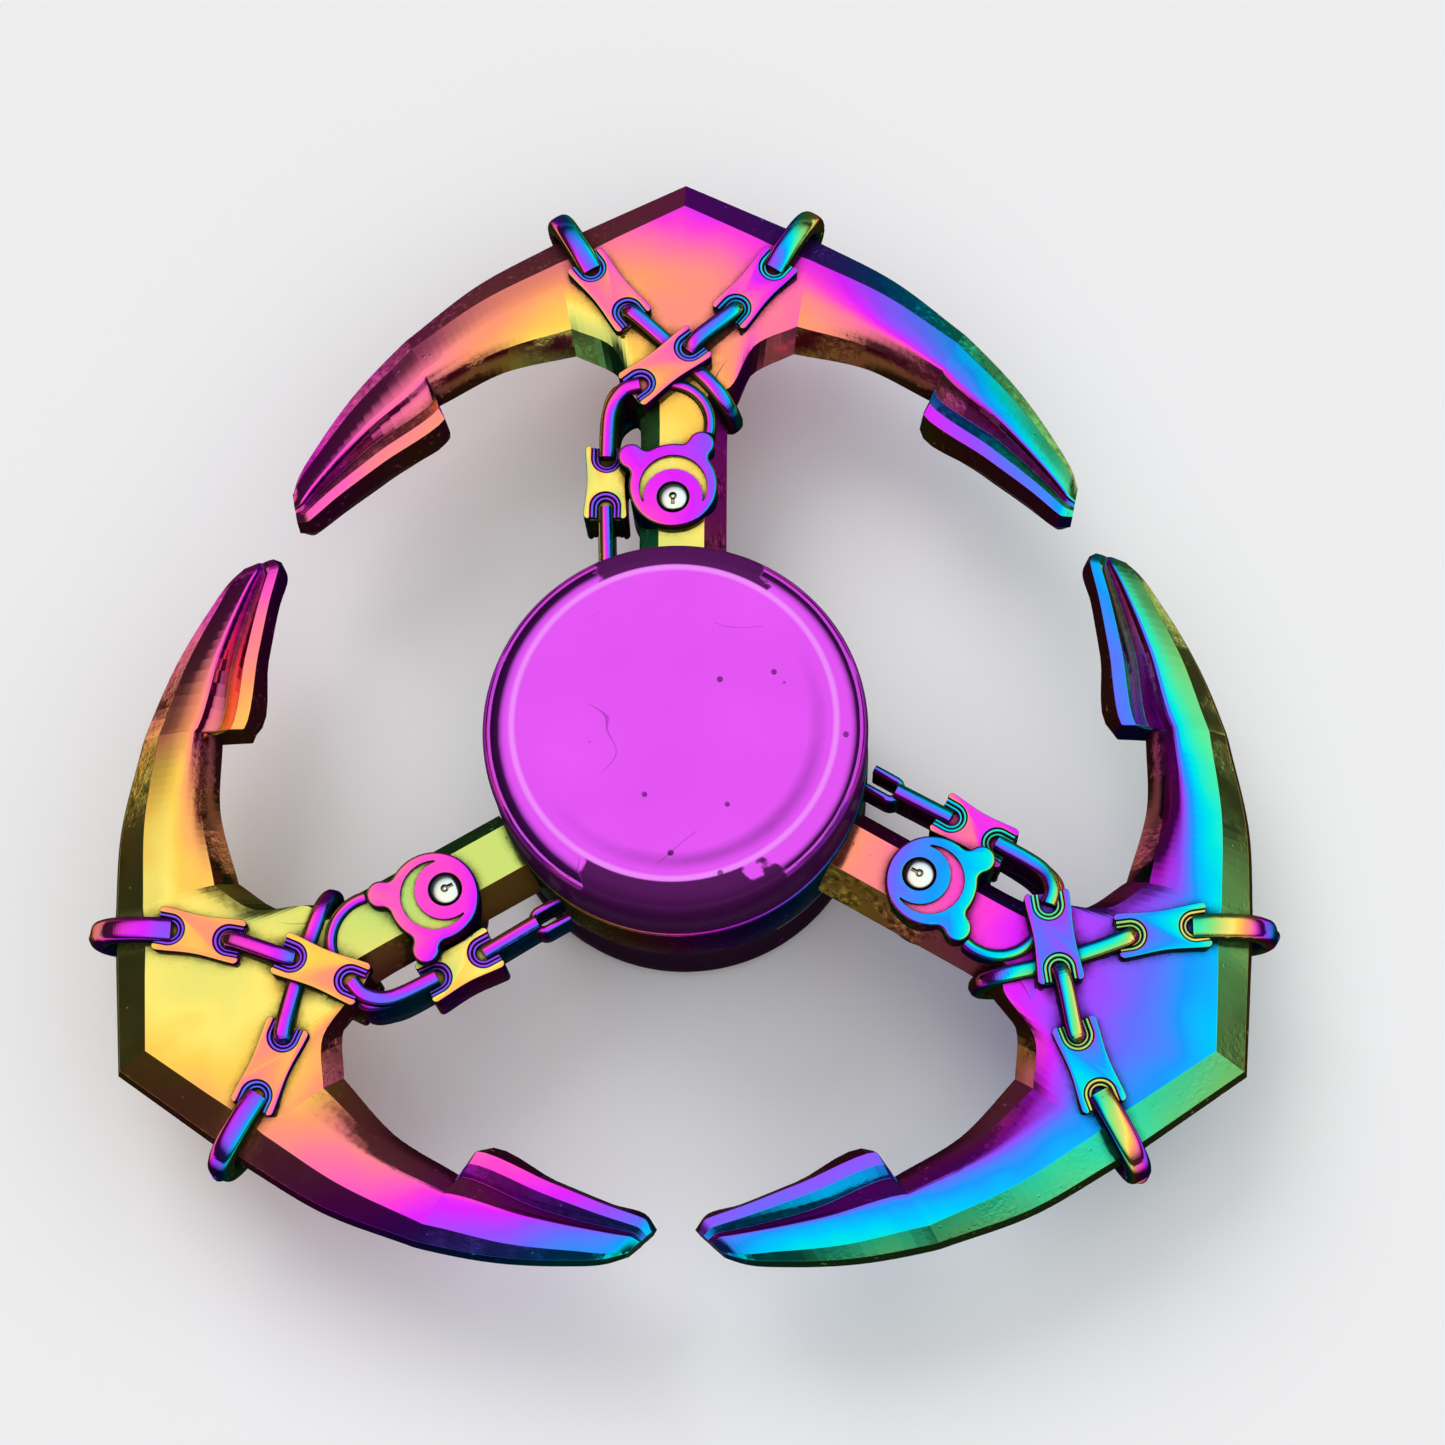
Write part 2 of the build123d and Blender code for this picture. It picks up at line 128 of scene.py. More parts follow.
# ---- the shackle ----
BOSS_AT, BOSS_DISC_R = (-0.5, 16.35), 2.62
EARS, EAR_R, EAR_FILLET = ((-3.0, 18.2), (1.15, 18.95)), 0.78, 0.5
MOON_OUTER, MOON_INNER = (-0.48, 16.2, 2.02), (-0.48, 15.6, 1.74)
MOON_HORN, MOON_DEPTH = 15.3, 0.22
SOCKET_DEPTH, SOCKET_GAP = 0.3, 0.08
PIN_AT, PIN_R, PIN_DOME, PIN_DEPTH = (-0.48, 15.57), 0.9, 0.34, 0.8
DIMPLE_R, DIMPLE_DEPTH = 0.24, 0.22
SLOT_HALF, SLOT_END, SLOT_DEPTH = 0.12, 0.52, 0.26
# The outline of the stud in the dimple: radius and depth below the pin's top.
STUD = ((0.0, 0.07), (0.09, 0.1), (0.13, 0.24), (0.0, 0.24))
BOW_AT, BOW_R, BOW_HALF, BOW_TOP = (-0.95, 20.4), 2.6, 0.36, 2.5
BOW_START, BOW_END = -0.25, 1.75

# ---- the chain ----
PLATE_END_HALF, PLATE_WAIST_HALF, PLATE_OVERHANG = 1.3, 1.14, 0.78
PLATE_CORNER, PLATE_RIM, SLOT_LIP = 0.27, 0.17, 0.08
EYE_R, EYE_FLOOR_DEPTH, EYE_FLOOR_INSET = 0.93, 0.42, 0.04
# The two beads in each eye: radius of the turn, radius of the bead, depth of its middle below the top.
BEADS = ((0.80, 0.13, 0.18), (0.56, 0.11, 0.26))
BEAD_INSET = 0.1
ROD_R, WALL_HALF = 0.5, 0.46
CROSS_WALL_TOP, SIDE_WALL_TOP = 2.2, 1.9
WRAP_HALF_WIDTH, WRAP_R = 0.72, 0.6
# Two eyes in plan, the height of the top and the depth of each flat link.
CROWN_PLATES = (((-5.6, 30.45), (-3.35, 27.55), 2.65, 1.4), ((5.45, 30.4), (3.15, 27.7), 2.65, 1.4))
CROSS_PLATE = ((0.42, 25.05), (-2.5, 22.75), 3.0, 1.3)
SIDE_PLATE = ((-4.5, 18.45), (-4.55, 15.4), 1.8, 1.8)
WRAP_OUT = (7.75, 34.2)
UNDER_ROD_TURN = (3.0, 21.4)
HUB_ROD_END = (-4.45, 11.9)
FORK_HALF, FORK_BAR_HALF, FORK_TOP = 0.6, 0.25, 1.3

# ---- the caps and the hub ----
CAP_RIM_R, CAP_LAND_HALF, CAP_SHOULDER_R = 9.08, 0.15, 9.23
# The dished face: its depth in the middle and its rise at a radius, then the wall up to the rim.
DISH_DEPTH, DISH_RISE, DISH_R = 0.55, 0.25, 8.0
DISH_WALL_R, DISH_WALL_RUN, DISH_WALL_HIGH = 7.2, 1.73, 0.33
SKIRT_WALL, SKIRT_CHAMFER, CAP_HUB_GAP, CAP_BOSS_R = 1.2, 0.2, 0.3, 4.8
HUB_EDGE = 0.25

# ---- the coatings ----
# How far round the rainbow each of these moves the colour: place across and along, sideways slope, distance
# from the axis, a wave with one crest per arm, slope away from the axis, clouding; and where it starts.
HUE_ACROSS, HUE_ALONG, HUE_SIDEWAYS, HUE_RING = 0.343, 0.10, 0.26, 0.61
HUE_ARM_WAVE, HUE_OUTWARD, HUE_CLOUD, HUE_START = 0.277, 0.20, 0.14, 0.88
HUE_APEX, HUE_CORNER = 0.13, 0.14      # and at the first arm's apex and the left side
# Each plating's shift round the rainbow, its lift above a level in millimetres, and its swing with slope.
PLATINGS = {
    "rainbow_plating": {},
    "bar_plating": {"shift": 0.33, "swing": 0.22},
    "link_plating": {"lift": 0.09, "level": 2.3, "swing": 0.3},
    "eye_plating": {"shift": 0.42},
    "boss_plating": {"lift": 0.34, "swing": 0.3},
    "hub_plating": {"shift": 0.16, "swing": 0.15},
}
HOLLOW_REACH, PIN_HOLLOW_REACH = 1.1, 0.3   # millimetres within which a neighbour paints shade on a surface
# A cap's painted shade colour for its steep sides and shoulder ends, then the colour of its pits and
# scratches.
CAP_PAINTED_SHADE, CAP_MARK = (0.016, 0.002, 0.014, 1), (0.10, 0.008, 0.12, 1)
PIN_COLOURS = ((0.95, 0.92, 0.75, 1), (0.75, 0.92, 0.95, 1))
# Painted shade colours of the pin: its dome's slope, its steep sides and its hollow.
PIN_SLOPE_SHADE, PIN_SIDE_SHADE, PIN_HOLLOW_SHADE = (0.25, 0.32, 0.36, 1), (0.03, 0.04, 0.08, 1), (0.20, 0.13, 0.05, 1)
STEEL_RINGS = 42000        # turning marks, in radians per metre
# Painted shade: the black painted on the plating's steep sides, crevices and facets tilted towards +Y.
PAINTED_SHADE_BLACK = (0, 0, 0, 1)

# ---- the studio ----
FLOOR_HALF = 1.5
SKY_STOPS = [(0.0, (0.03, 0.03, 0.035)), (0.40, (0.05, 0.05, 0.06)), (0.66, (0.80, 0.80, 0.82)),
             (0.8, (1.0, 1.0, 1.0))]
SKY_LEAN, SKY_STRENGTH = (0.20, -0.06, 0.97), 1.08
SUN_WIDTH, SUN_ENERGY, SUN_DIRECTION = 36, 0.9, (0.45, -0.85, -1)
# The camera's direction and roll in degrees, its distance and the height it looks at in millimetres.
AZIMUTH, ELEVATION, ROLL = 9.76, 73.5, -9.6
CAMERA_AWAY, CAMERA_AIM = 182.0, 0.3
LENS, SENSOR, LENS_SHIFT = 77.8, 36.0, (0.029, 0.0275)


# ---------------------------------------------------------------- mesh helpers

def slopes(places, values):
    """Slopes at a table's rows for a smooth line that doesn't swing past them."""
    rises = [(values[i + 1] - values[i]) / (places[i + 1] - places[i]) for i in range(len(values) - 1)]
    inner = [2 * a * b / (a + b) if a * b > 0 else 0 for a, b in zip(rises, rises[1:])]
    return [rises[0]] + inner + [rises[-1]]


def filled_in(rows, steps, places):
    """The table's rows with smoothly interpolated rows between them."""
    columns = list(zip(*rows))
    column_slopes = [slopes(places, column) for column in columns]
    for i in range(len(rows) - 1):
        span = places[i + 1] - places[i]
        for step in range(steps):
            t = step / steps
            yield [
                (1 + 2 * t) * (1 - t) ** 2 * c[i] + t * (1 - t) ** 2 * span * m[i]
                + t * t * (3 - 2 * t) * c[i + 1] - t * t * (1 - t) * span * m[i + 1]
                for c, m in zip(columns, column_slopes)]
    yield rows[-1]


def plan_places(rows):
    """Distances along the outer ends of a table's sections."""
    places = [0]
    for a, b in zip(rows, rows[1:]):
        places.append(places[-1] + hypot(b[0] - a[0], b[1] - a[1]))
    return places


def loft(bm, sections):
    """Extrudes the first section's face through the others. All sections have the same number of points."""
    face = bm.faces.new([bm.verts.new(p) for p in sections[0]])
    ring = list(face.verts)
    for section in sections[1:]:
        made = bmesh.ops.extrude_face_region(bm, geom=[face])["geom"]
        face = next(g for g in made if isinstance(g, bmesh.types.BMFace))
        corners = list(face.verts)
        shift = min(range(len(corners)), key=lambda i: (corners[i].co - ring[0].co).length)
        corners = corners[shift:] + corners[:shift]
        if (corners[1].co - ring[1].co).length > 1e-9:
            corners = corners[:1] + corners[:0:-1]
        for vert, point in zip(corners, section):
            vert.co = point
        ring = corners
    bmesh.ops.recalc_face_normals(bm, faces=bm.faces)


def merge_in(bm, other):
    """Adds another bmesh's geometry to bm."""
    mesh = bpy.data.meshes.new("part")
    other.to_mesh(mesh)
    bm.from_mesh(mesh)
    bpy.data.meshes.remove(mesh)
    other.free()


def mirrored_down(bm):
    """Adds the same shape on the other side of the mid-plane."""
    copied = bmesh.ops.duplicate(bm, geom=bm.verts[:] + bm.edges[:] + bm.faces[:])["geom"]
    verts = [g for g in copied if isinstance(g, bmesh.types.BMVert)]
    bmesh.ops.scale(bm, vec=(1, 1, -1), verts=verts)
    bmesh.ops.reverse_faces(bm, faces=[g for g in copied if isinstance(g, bmesh.types.BMFace)])


def spun(profile, steps=128):
    """A solid of revolution about Z from (radius, height) points, its ends on the axis or joined."""
    bm = bmesh.new()
    points = [bm.verts.new((r, 0, z)) for r, z in profile]
    edges = [bm.edges.new(pair) for pair in zip(points, points[1:])]
    bmesh.ops.spin(bm, geom=points + edges, cent=(0, 0, 0), axis=(0, 0, 1), angle=2 * pi, steps=steps,
                   use_merge=True, use_duplicate=False)
    bmesh.ops.remove_doubles(bm, verts=bm.verts, dist=1e-5)
    bmesh.ops.recalc_face_normals(bm, faces=bm.faces)
    return bm


def prism(outline, low, high):
    """An upright solid over a closed plan outline in millimetres."""
    bm = bmesh.new()
    face = bm.faces.new([bm.verts.new((x, y, low)) for x, y in outline])
    made = bmesh.ops.extrude_face_region(bm, geom=[face])["geom"]
    lifted = [g for g in made if isinstance(g, bmesh.types.BMVert)]
    bmesh.ops.translate(bm, vec=(0, 0, high - low), verts=lifted)
    bmesh.ops.recalc_face_normals(bm, faces=bm.faces)
    return bm


def soften_rims(bm, height, offset, segments=3):
    """Rounds the rim of the flat face at a height."""
    rim = [e for e in bm.edges
           if all(abs(v.co.z - height) < 1e-4 for v in e.verts) and len(e.link_faces) == 2
           and any(abs(f.normal.z) < 0.5 for f in e.link_faces)]
    bmesh.ops.bevel(bm, geom=rim, offset=offset, offset_type="OFFSET", segments=segments, profile=0.5,
                    affect="EDGES", material=-1, clamp_overlap=True)


def plain_object(name, bm):
    mesh = bpy.data.meshes.new(name)
    bm.to_mesh(mesh)
    bm.free()
    obj = bpy.data.objects.new(name, mesh)
    bpy.context.scene.collection.objects.link(obj)
    return obj


def carved(bm, cutters):
    """bm with the cutters' shapes taken out of it."""
    body = plain_object("carving", bm)
    tool_mesh = bmesh.new()
    for cutter in cutters:
        merge_in(tool_mesh, cutter)
    tool = plain_object("cutter", tool_mesh)
    cut = body.modifiers.new("cut", "BOOLEAN")
    cut.operation, cut.solver, cut.object = "DIFFERENCE", "EXACT", tool
    graph = bpy.context.evaluated_depsgraph_get()
    result = bmesh.new()
    result.from_mesh(body.evaluated_get(graph).to_mesh())
    for obj in (body, tool):
        mesh = obj.data
        bpy.data.objects.remove(obj)
        bpy.data.meshes.remove(mesh)
    bmesh.ops.dissolve_degenerate(result, dist=1e-4, edges=result.edges)
    return result


def piece(name, bm, material, turn=0.0, round_edges=0.0, segments=2, angle=SMOOTH_ANGLE):
    """A finished object from a bmesh in millimetres, turned about the spin axis, with softened edges."""
    bmesh.ops.transform(bm, matrix=Matrix.Rotation(turn, 4, "Z") @ Matrix.Scale(MM, 4), verts=bm.verts)
    for face in bm.faces:
        face.smooth = True
    obj = plain_object(name, bm)
    obj.data.materials.append(material)
    if round_edges:
        bevel = obj.modifiers.new("soft_edges", "BEVEL")
        bevel.width, bevel.segments, bevel.limit_method = round_edges * MM, segments, "ANGLE"
        bevel.angle_limit, bevel.harden_normals, bevel.use_clamp_overlap = radians(angle), True, True
    obj.data.set_sharp_from_angle(angle=radians(angle))
    return obj


def on_body(obj, body, slot, *nodes):
    """Lets a piece ride on a body in place of CAD nodes. The slot is not used."""
    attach(obj, body)
    if nodes:
        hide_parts(*nodes)


# ---------------------------------------------------------------- finishes

class Socket:
    """A shader value that can be used in sums: each operator adds a Math node."""

    def __init__(self, finish, socket):
        self.finish, self.socket = finish, socket

    def math(self, operation, *others):
        values = {i + 1: other for i, other in enumerate(others)}
        return self.finish.node("ShaderNodeMath", {"operation": operation}, {0: self, **values})

    def __add__(self, other):
        return self.math("ADD", other)

    def __radd__(self, other):
        return self.finish.node("ShaderNodeMath", {"operation": "ADD"}, {0: other, 1: self})

    def __sub__(self, other):
        return self.math("SUBTRACT", other)

    def __rsub__(self, other):
        return self.finish.node("ShaderNodeMath", {"operation": "SUBTRACT"}, {0: other, 1: self})

    def __mul__(self, other):
        return self.math("MULTIPLY", other)

    def __rmul__(self, other):
        return self.finish.node("ShaderNodeMath", {"operation": "MULTIPLY"}, {0: other, 1: self})

    def __truediv__(self, other):
        return self.math("DIVIDE", other)

    def __abs__(self):
        return self.math("ABSOLUTE")

    def fraction(self):
        return self.math("FRACT")

    def step(self, low, high):
        """0 below low, 1 above high, smooth between."""
        return self.finish.node("ShaderNodeMapRange", {"interpolation_type": "SMOOTHSTEP"},
                                {"Value": self, "From Min": low, "From Max": high})


class Finish:
    """A material under construction, with one metal shader."""

    def __init__(self, name, metallic=1.0, roughness=0.5):
        self.material = bpy.data.materials.new(name)
        self.material.use_nodes = True
        self.tree = self.material.node_tree
        self.shader = self.tree.nodes["Principled BSDF"]
        self.shader.inputs["Metallic"].default_value = metallic
        self.shader.inputs["Roughness"].default_value = roughness
        self.shader.inputs["Specular IOR Level"].default_value = 0.0
        self.shader.inputs["Specular Tint"].default_value = (0.3, 0.3, 0.3, 1)

    def node(self, kind, settings=None, values=None, output=0):
        """Adds a node: its settings first, then its sockets' values or links. Returns one output."""
        made = self.tree.nodes.new(kind)
        for key, value in (settings or {}).items():
            if key == "stops":
                set_stops(made.color_ramp, value)
            else:
                setattr(made, key, value)
        for key, value in (values or {}).items():
            self.feed(made.inputs[key], value)
        return Socket(self, made.outputs[output])

    def feed(self, target, value):
        if isinstance(value, Socket):
            self.tree.links.new(value.socket, target)
        else:
            target.default_value = value

    def place(self):
        return self.node("ShaderNodeTexCoord", output="Object")

    def direction(self):
        return self.node("ShaderNodeTexCoord", output="Normal")

    def parts(self, vector):
        split = self.node("ShaderNodeSeparateXYZ", values={"Vector": vector})
        outputs = split.socket.node.outputs
        return [Socket(self, outputs[i]) for i in range(3)]

    def noise(self, scale, detail=2.0, roughness=0.5):
        values = {"Vector": self.place(), "Scale": scale, "Detail": detail, "Roughness": roughness}
        return self.node("ShaderNodeTexNoise", values=values)

    def specks(self, scale):
        """Distance to the nearest of a scatter of points, in cells."""
        values = {"Vector": self.place(), "Scale": scale}
        return self.node("ShaderNodeTexVoronoi", values=values, output="Distance")

    def open_air(self, reach, own_piece_only):
        """How little a point is hemmed in by surfaces within reach millimetres, from 0 to 1."""
        return self.node("ShaderNodeAmbientOcclusion", {"samples": 5, "only_local": own_piece_only},
                         {"Distance": reach * MM}, "AO")

    def mixed(self, factor, a, b):
        """The colour a where the factor is 0 and b where it is 1."""
        made = self.tree.nodes.new("ShaderNodeMix")
        made.data_type = "RGBA"
        for index, value in ((0, factor), (6, a), (7, b)):
            self.feed(made.inputs[index], value)
        return Socket(self, made.outputs[2])

    def bumped(self, *layers):
        """Chains (height, strength, distance) layers into the shader's normal."""
        normal = None
        for height, strength, distance in layers:
            values = {"Height": height, "Strength": strength, "Distance": distance}
            if normal is not None:
                values["Normal"] = normal
            normal = self.node("ShaderNodeBump", values=values)
        self.feed(self.shader.inputs["Normal"], normal)

    def set(self, **values):
        """Feeds the shader's named inputs and returns the material."""
        for name, value in values.items():
            self.feed(self.shader.inputs[name.replace("_", " ")], value)
        return self.material


def set_stops(ramp, stops):
    """Gives a colour ramp its (place, colour) stops."""
    while len(ramp.elements) < len(stops):
        ramp.elements.new(1.0)
    for element, (place, colour) in zip(ramp.elements, stops):
        element.position = place
        element.color = (*colour, 1.0)


# The film's colours in order, as a screen shows them.
RAINBOW = [
    (0.00, (0.99, 0.90, 0.44)), (0.03, (0.99, 0.80, 0.33)), (0.10, (0.99, 0.60, 0.42)),
    (0.19, (0.99, 0.45, 0.62)), (0.27, (0.99, 0.24, 0.82)), (0.33, (0.86, 0.14, 0.98)),
    (0.40, (0.60, 0.28, 0.98)), (0.48, (0.38, 0.42, 0.97)), (0.56, (0.10, 0.58, 0.97)),
    (0.61, (0.0, 0.76, 0.98)), (0.66, (0.0, 0.90, 0.86)), (0.72, (0.25, 0.92, 0.66)),
    (0.80, (0.50, 0.88, 0.50)), (0.89, (0.70, 0.86, 0.45)), (0.95, (0.85, 0.86, 0.45)),
    (1.00, (0.99, 0.90, 0.44)),
]


def light_values(colour):
    """The light values of a colour given as a screen shows it."""
    return tuple(c / 12.92 if c <= 0.04045 else ((c + 0.055) / 1.055) ** 2.4 for c in colour)


def rainbow_plating(name, shift=0.0, lift=0.0, level=2.7, swing=0.0):
    """Mirror plating whose colour runs round the rainbow with the surface's place and slope. Surfaces above
    level millimetres are lift further round, and swing adds to the effect of a sideways slope. Steep sides,
    crevices and facets tilted towards +Y are painted black as painted shade, with painted glints of film in
    it."""
    finish = Finish(name)
    x, y, z = finish.parts(finish.place())
    nx, ny, nz = finish.parts(finish.direction())
    scale = 1 / (CROWN_RADIUS * MM)
    x, y = x * scale, y * scale
    square = x * x + y * y
    arm_wave = y * (3 * x * x - y * y)
    outward = nx * x + ny * y
    flat = abs(nz)
    apex = y.step(0.80, 0.97) * flat.step(0.85, 0.95) * HUE_APEX
    corner = (0 - x).step(0.25, 0.75) * y.step(-0.1, 0.4) * HUE_CORNER
    cloud = finish.noise(180, 2.0)
    raised = abs(z).step((level - 0.1) * MM, (level + 0.08) * MM)
    phase = (HUE_ACROSS * x - HUE_ALONG * y + (HUE_SIDEWAYS + swing) * nx + apex + corner
             + HUE_RING * square + HUE_ARM_WAVE * arm_wave + HUE_OUTWARD * outward
             + raised * lift + cloud * HUE_CLOUD + (HUE_START + shift))
    film = finish.node("ShaderNodeValToRGB", {"stops": [(p, light_values(c)) for p, c in RAINBOW]},
                       {"Fac": phase.fraction()})
    patch = finish.noise(420, 3.0).step(0.45, 0.62)
    grain = finish.noise(2600, 4.0, 0.6)
    steep = 1 - flat.step(0.62, 0.95)
    # Painted shade in crevices: where neighbours within HOLLOW_REACH hem a surface in, it is painted dark.
    clear = (finish.open_air(HOLLOW_REACH, False) + (grain - 0.5) * 0.3).step(0.5, 0.8)
    # A painted dark reflection on facets tilted towards +Y.
    painted_back_shade = (ny + (grain - 0.5) * 0.3).step(0.26, 0.46)
    # painted_lit is 1 where the film shows and 0 where painted shade darkens it: steep sides, crevices,
    # facets towards +Y.
    painted_lit = (flat + (grain - 0.5) * 0.25 * patch).step(0.46, 0.64) * clear * (1 - painted_back_shade * 0.92)
    # Painted glints: flecks of film colour showing through the painted shade on the sides.
    painted_glints = grain.step(0.60, 0.72) * patch * 0.35 + 0.035
    # The painted shade is black, with a little film and painted glints showing through it.
    coat_with_painted_shade = finish.mixed(painted_lit, finish.mixed(painted_glints, PAINTED_SHADE_BLACK, film), film)
    pits = finish.specks(900).step(0.10, 0.02)
    rough = steep * patch
    finish.bumped((cloud, 0.10, 0.0004), (grain, rough * 0.5 + 0.015, 0.00010), (pits, 0.25, 0.00003))
    return finish.set(Base_Color=coat_with_painted_shade, Metallic=painted_lit * 0.9 + 0.1,
                      Roughness=grain * 0.08 + 0.05 + rough * 0.16 + pits * 0.2)


def cap_plating(name, colour, edge_colour):
    """Mirror cap: a coloured film with a painted highlight along the rim line, painted shade on its steep
    sides and a painted dark reflection on the shoulder towards two of its ends, faint clouding, pits and
    hairline scratches."""
    finish = Finish(name)
    x, y = finish.parts(finish.place())[:2]
    radius = (x * x + y * y).math("SQRT")
    flat = abs(finish.parts(finish.direction())[2])
    cloud = finish.noise(160, 3.0)
    film = finish.mixed(cloud * 0.6, (*colour, 1), (*edge_colour, 1))
    # A painted highlight: the film is lightened along the rim line.
    rim_highlight = abs(radius - CAP_RIM_R * MM).step(0.26 * MM, 0.05 * MM) * flat.step(0.5, 0.9)
    film = finish.mixed(rim_highlight * 0.35, film, (*[1 - (1 - c) * 0.55 for c in edge_colour], 1))
    # Painted shade: the film darkened almost to black for the cap's steep sides and the dark ends of its
    # shoulder.
    dark = finish.mixed(0.93, film, CAP_PAINTED_SHADE)
    shoulder = radius.step((CAP_RIM_R + 0.12) * MM, (CAP_RIM_R + 0.22) * MM)
    # A painted dark reflection on the shoulder towards +Y and -Y.
    ends = (abs(y) / radius + (finish.noise(330, 4.0) - 0.5) * 0.36).step(0.85, 0.865)
    painted_lit = flat.step(0.22, 0.6) * (1 - shoulder * ends * 0.95)
    coat_with_painted_shade = finish.mixed(painted_lit, dark, film)
    pits = finish.specks(420).step(0.085, 0.055)
    hairline = abs(finish.noise(150, 1.0) - 0.47).step(0.0035, 0.0008)
    scratch = hairline * finish.noise(210, 0.0).step(0.56, 0.60)
    finish.bumped((cloud, 0.12, 0.0006), (1 - pits, 0.5, 0.00004), (1 - scratch, 0.2, 0.00001))
    marks = pits * 0.75 + scratch * 0.45
    return finish.set(Base_Color=finish.mixed(marks, coat_with_painted_shade, CAP_MARK), Metallic=painted_lit * 0.9 + 0.1,
                      Roughness=cloud * 0.06 + 0.06 + pits * 0.3 + scratch * 0.1)


def bright_steel(name, tone, roughness):
    """Ground bearing steel with fine turning marks round the axis."""
    finish = Finish(name)
    x, y, z = finish.parts(finish.place())
    radius = (x * x + y * y).math("SQRT")
    rings = (radius * STEEL_RINGS + z * STEEL_RINGS).math("SINE")
    cloud = finish.noise(600, 3.0)
    finish.bumped((rings, 0.05, 0.00001), (cloud, 0.05, 0.00005))
    return finish.set(Base_Color=finish.mixed(cloud * 0.4, (*tone, 1), (*[c * 0.7 for c in tone], 1)),
                      Roughness=cloud * 0.15 + roughness)


def pin_plating():
    """The shackle pin's silvery dome, with painted shade where it slopes and on its sides, and dark
    yellow-brown painted shade in its hollow.
    """
    finish = Finish("pin_plating")
    nx, ny, nz = finish.parts(finish.direction())
    tilt = (nx * 0.5 + ny * 0.5 + 0.5).step(0.1, 0.9)
    film = finish.mixed(tilt, *PIN_COLOURS)
    grain = finish.noise(2400, 3.0)
    # Painted shade in the dimple: where the pin hems itself in, the film turns dark yellow-brown.
    clear = finish.open_air(PIN_HOLLOW_REACH, True).step(0.5, 0.85)
    # Painted shade on the dome's slope.
    film = finish.mixed(abs(nz).step(0.72, 0.86), PIN_SLOPE_SHADE, film)
    film = finish.mixed(clear, PIN_HOLLOW_SHADE, film)
    finish.bumped((grain, 0.08, 0.00005))
    # Painted shade on the pin's steep sides.
    return finish.set(Base_Color=finish.mixed(abs(nz).step(0.2, 0.6), PIN_SIDE_SHADE, film),
                      Roughness=grain * 0.12 + 0.1)


# ---------------------------------------------------------------- shapes of an arm, in millimetres

def smooth_line(points, counts):
    """Points along a smooth line through the given ones, with a number of steps between each two."""
    ends = [points[0]] + list(points) + [points[-1]]
    out = []
    for i, count in enumerate(counts):
        p0, p1, p2, p3 = (Vector(p) for p in ends[i:i + 4])
        for step in range(count):
            t = step / count
            out.append(0.5 * (2 * p1 + (p2 - p0) * t + (2 * p0 - 5 * p1 + 4 * p2 - p3) * t * t
                              + (3 * p1 - p0 - 3 * p2 + p3) * t ** 3))
    return out + [Vector(points[-1])]


def arm_section(row, side):
    """The closed loop of points of one section of the crown and flukes, on the right or left side."""
    ox, oy, ix, iy, *pairs = row
    run = hypot(ix - ox, iy - oy)
    step = ((ix - ox) / run, (iy - oy) / run)
    bevel, ridge, face, edge, *inner_side = list(zip(pairs[::2], pairs[1::2]))
    half = [OUTER_SIDE, *smooth_line([bevel, ridge, face, edge], FACE_STEPS)[:-1], edge, *inner_side]
    upper = [(0, 0)] + half + [(run, 0)]
    lower = [(d, -h) for d, h in reversed(half)]
    return [(side * (ox + step[0] * d), oy + step[1] * d, h) for d, h in upper + lower]


def anchor_shape():
    """The crown and both flukes as one loft from tip to tip, and the shank."""
    rows = list(filled_in(CROWN_ROWS, 6, plan_places(CROWN_ROWS)))
    rows += list(filled_in(FLUKE_ROWS, 10, plan_places(FLUKE_ROWS)))[1:]
    rows += list(filled_in(BARB_ROWS, 6, plan_places(BARB_ROWS)))
    left = [arm_section(row, -1) for row in reversed(rows[1:])]
    right = [arm_section(row, 1) for row in rows]
    bm = bmesh.new()
    loft(bm, left + right)
    shank = bmesh.new()
    sections = []
    for y, top, mid, height in filled_in(SHANK_ROWS, 5, [row[0] for row in SHANK_ROWS]):
        half = [(top, height), (mid, 0), (top, -height)]
        sections.append([(x, y, z) for x, z in half] + [(-x, y, z) for x, z in reversed(half)])
    loft(shank, sections)
    merge_in(bm, shank)
    return bm


def arc_points(centre, radius, start, end, count):
    """Points on an arc between two angles."""
    return [(centre[0] + radius * cos(start + (end - start) * i / count),
             centre[1] + radius * sin(start + (end - start) * i / count)) for i in range(count + 1)]


def meeting(centre_a, radius_a, centre_b, radius_b, side):
    """One of the two points where two circles meet."""
    apart = Vector(centre_b) - Vector(centre_a)
    along = (radius_a ** 2 - radius_b ** 2 + apart.length_squared) / (2 * apart.length)
    across = sqrt(radius_a ** 2 - along ** 2)
    unit = apart.normalized()
    return Vector(centre_a) + unit * along + Vector((-unit.y, unit.x)) * across * side


def arc_between(centre, start, end, count, anticlockwise=True):
    """Points on an arc about a centre from one point towards another."""
    a = atan2(start[1] - centre[1], start[0] - centre[0])
    b = atan2(end[1] - centre[1], end[0] - centre[0])
    if anticlockwise and b < a:
        b += 2 * pi
    if not anticlockwise and b > a:
        b -= 2 * pi
    return arc_points(centre, hypot(start[0] - centre[0], start[1] - centre[1]), a, b, count)


